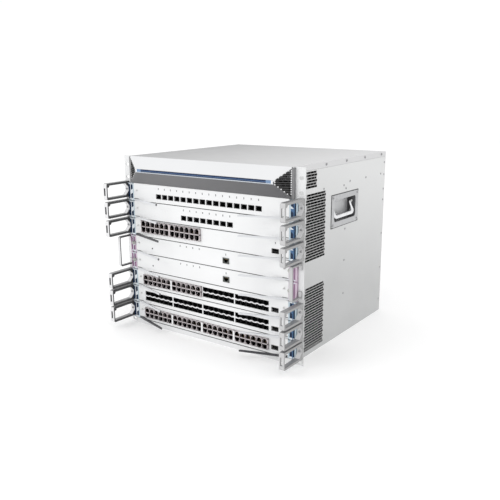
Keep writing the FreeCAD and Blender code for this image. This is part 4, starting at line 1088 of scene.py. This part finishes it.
def blade_grids():
    """Five blades: lens sections from radius 23 to 63.5, at a pitch that falls outwards.

    At radius r the section's middle is turned by an angle that grows with r, its chord is
    34 and its thickness 3.2 falling to 1.6 mm, and it is pitched by 48 degrees falling to 26.
    """
    out = np.linspace(0.0, 1.0, 9)
    turn = np.linspace(0, 2 * np.pi, 17)[:-1]
    pitch = np.radians(48 - 22 * out)[:, None]
    chord = (32.0 + 4 * np.sin(np.pi * out))[:, None] / 2 * np.cos(turn)
    thick = (3.2 - 1.6 * out)[:, None] / 2 * np.sin(turn) + 2.2 * (np.cos(turn) ** 2 - 0.5)
    around = chord * np.cos(pitch) - thick * np.sin(pitch)
    along = np.clip(chord * np.sin(pitch) + thick * np.cos(pitch), -13.0, 13.0)
    radius = (23.0 + 40.5 * out)[:, None]
    blades = []
    for blade in range(5):
        angle = 2 * np.pi * blade / 5 + 0.35 * out[:, None] + around / radius
        blades.append(np.stack([radius * np.cos(angle), along, radius * np.sin(angle)], axis=-1))
    return np.array(blades)


def hub_grid():
    """A bored hub along y, from the bore's mouth over the rolled edge to its other end."""
    along = [-10.0, -10.0, -9.6, -8.2, 9.4, 10.0, 10.0]
    return turned(1, along, [4.3, 20.0, 23.4, 25.0, 25.0, 24.4, 4.3], 40)[None]


for level in ("lower", "upper"):
    body = "fan_tray_" + level
    low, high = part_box(body)
    z = {"lower": (low[2] / MM + 6.0, high[2] / MM - 4.0),
         "upper": (low[2] / MM + 4.0, high[2] / MM - 6.0)}[level]
    screw_heads(body + "_captive_screws", [(x, 417.5, height) for x in (-196.0, 196.0)
                                           for height in z], (0, 1, 0), 3.6, 3.0, body)
    for side, word in sides:
        rotor = "fan_rotor_%s_%s" % (level, word)
        low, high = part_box(rotor)
        centre = np.array([side * 100.5, (low[1] + high[1] - 2 * front_y) / 2 / MM,
                           (low[2] + high[2]) / 2 / MM])
        for part, grids in (("blades", blade_grids()), ("hub", hub_grid())):
            piece = skin(rotor + "_" + part, grids + centre, rotor_black, rotor,
                         closed=part == "hub")
            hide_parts(rotor)

# Floor, studio light and camera. A white sweep, a large soft box to the front left, a weak one
# over the right side, and an even white sky.


def stage_floor():
    mesh = bpy.data.meshes.new("floor_sheet")
    mesh.from_pydata([(-6, -6, 0), (6, -6, 0), (6, 6, 0), (-6, 6, 0)], [], [(0, 1, 2, 3)])
    piece = placed("floor_sheet", mesh)
    pale = Finish("floor_pale", 0.9, specular=0.1)
    pale.set(Base_Color=(0.80, 0.80, 0.80), Emission_Color=(1.0, 1.0, 1.0), Emission_Strength=0.24)
    piece.data.materials.append(pale.material)
    piece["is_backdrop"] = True


def soft_box(name, place, target, size, power):
    light = bpy.data.lights.new(name, "AREA")
    light.shape = "RECTANGLE"
    light.size = size[0]
    light.size_y = size[1]
    light.energy = power
    lamp = placed(name, light)
    lamp.location = place
    lamp.rotation_euler = (Vector(target) - Vector(place)).to_track_quat("-Z", "Y").to_euler()


stage_floor()
soft_box("front_left_box", (-1.6, -2.6, 1.9), (0.0, -0.1, 0.2), (2.0, 1.6), 22.0)
soft_box("right_box", (3.0, -0.6, 1.4), (0.2, 0.0, 0.2), (1.6, 1.6), 5.0)

sky = bpy.data.worlds.new("white_sky")
sky.use_nodes = True
sky.node_tree.nodes["Background"].inputs[0].default_value = (1.0, 1.0, 1.0, 1.0)
sky.node_tree.nodes["Background"].inputs[1].default_value = 1.02
bpy.context.scene.world = sky
bpy.context.scene.view_settings.view_transform = "Standard"


def photo_camera():
    """A 45 mm lens at the place and turn that a fit to the photograph's straight edges gave."""
    yaw = math.radians(-35.70)
    pitch = math.radians(13.72)
    roll = math.radians(-0.32)
    ahead = Vector((math.sin(yaw) * math.cos(pitch), math.cos(yaw) * math.cos(pitch),
                    -math.sin(pitch)))
    level = Vector((math.cos(yaw), -math.sin(yaw), 0.0))
    above = level.cross(ahead)
    right = math.cos(roll) * level + math.sin(roll) * above
    up = -math.sin(roll) * level + math.cos(roll) * above
    lens = bpy.data.cameras.new("photo_camera")
    lens.sensor_width = 36.0
    focal_pixels, picture_pixels = 624.8, 500.0
    lens.lens = lens.sensor_width * focal_pixels / picture_pixels
    camera = placed("photo_camera", lens)
    turn = Matrix((right, up, -ahead)).transposed().to_4x4()
    camera.matrix_world = Matrix.Translation((0.8345, front_y - 0.999, 0.5248)) @ turn
    bpy.context.scene.camera = camera


photo_camera()

low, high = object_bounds()
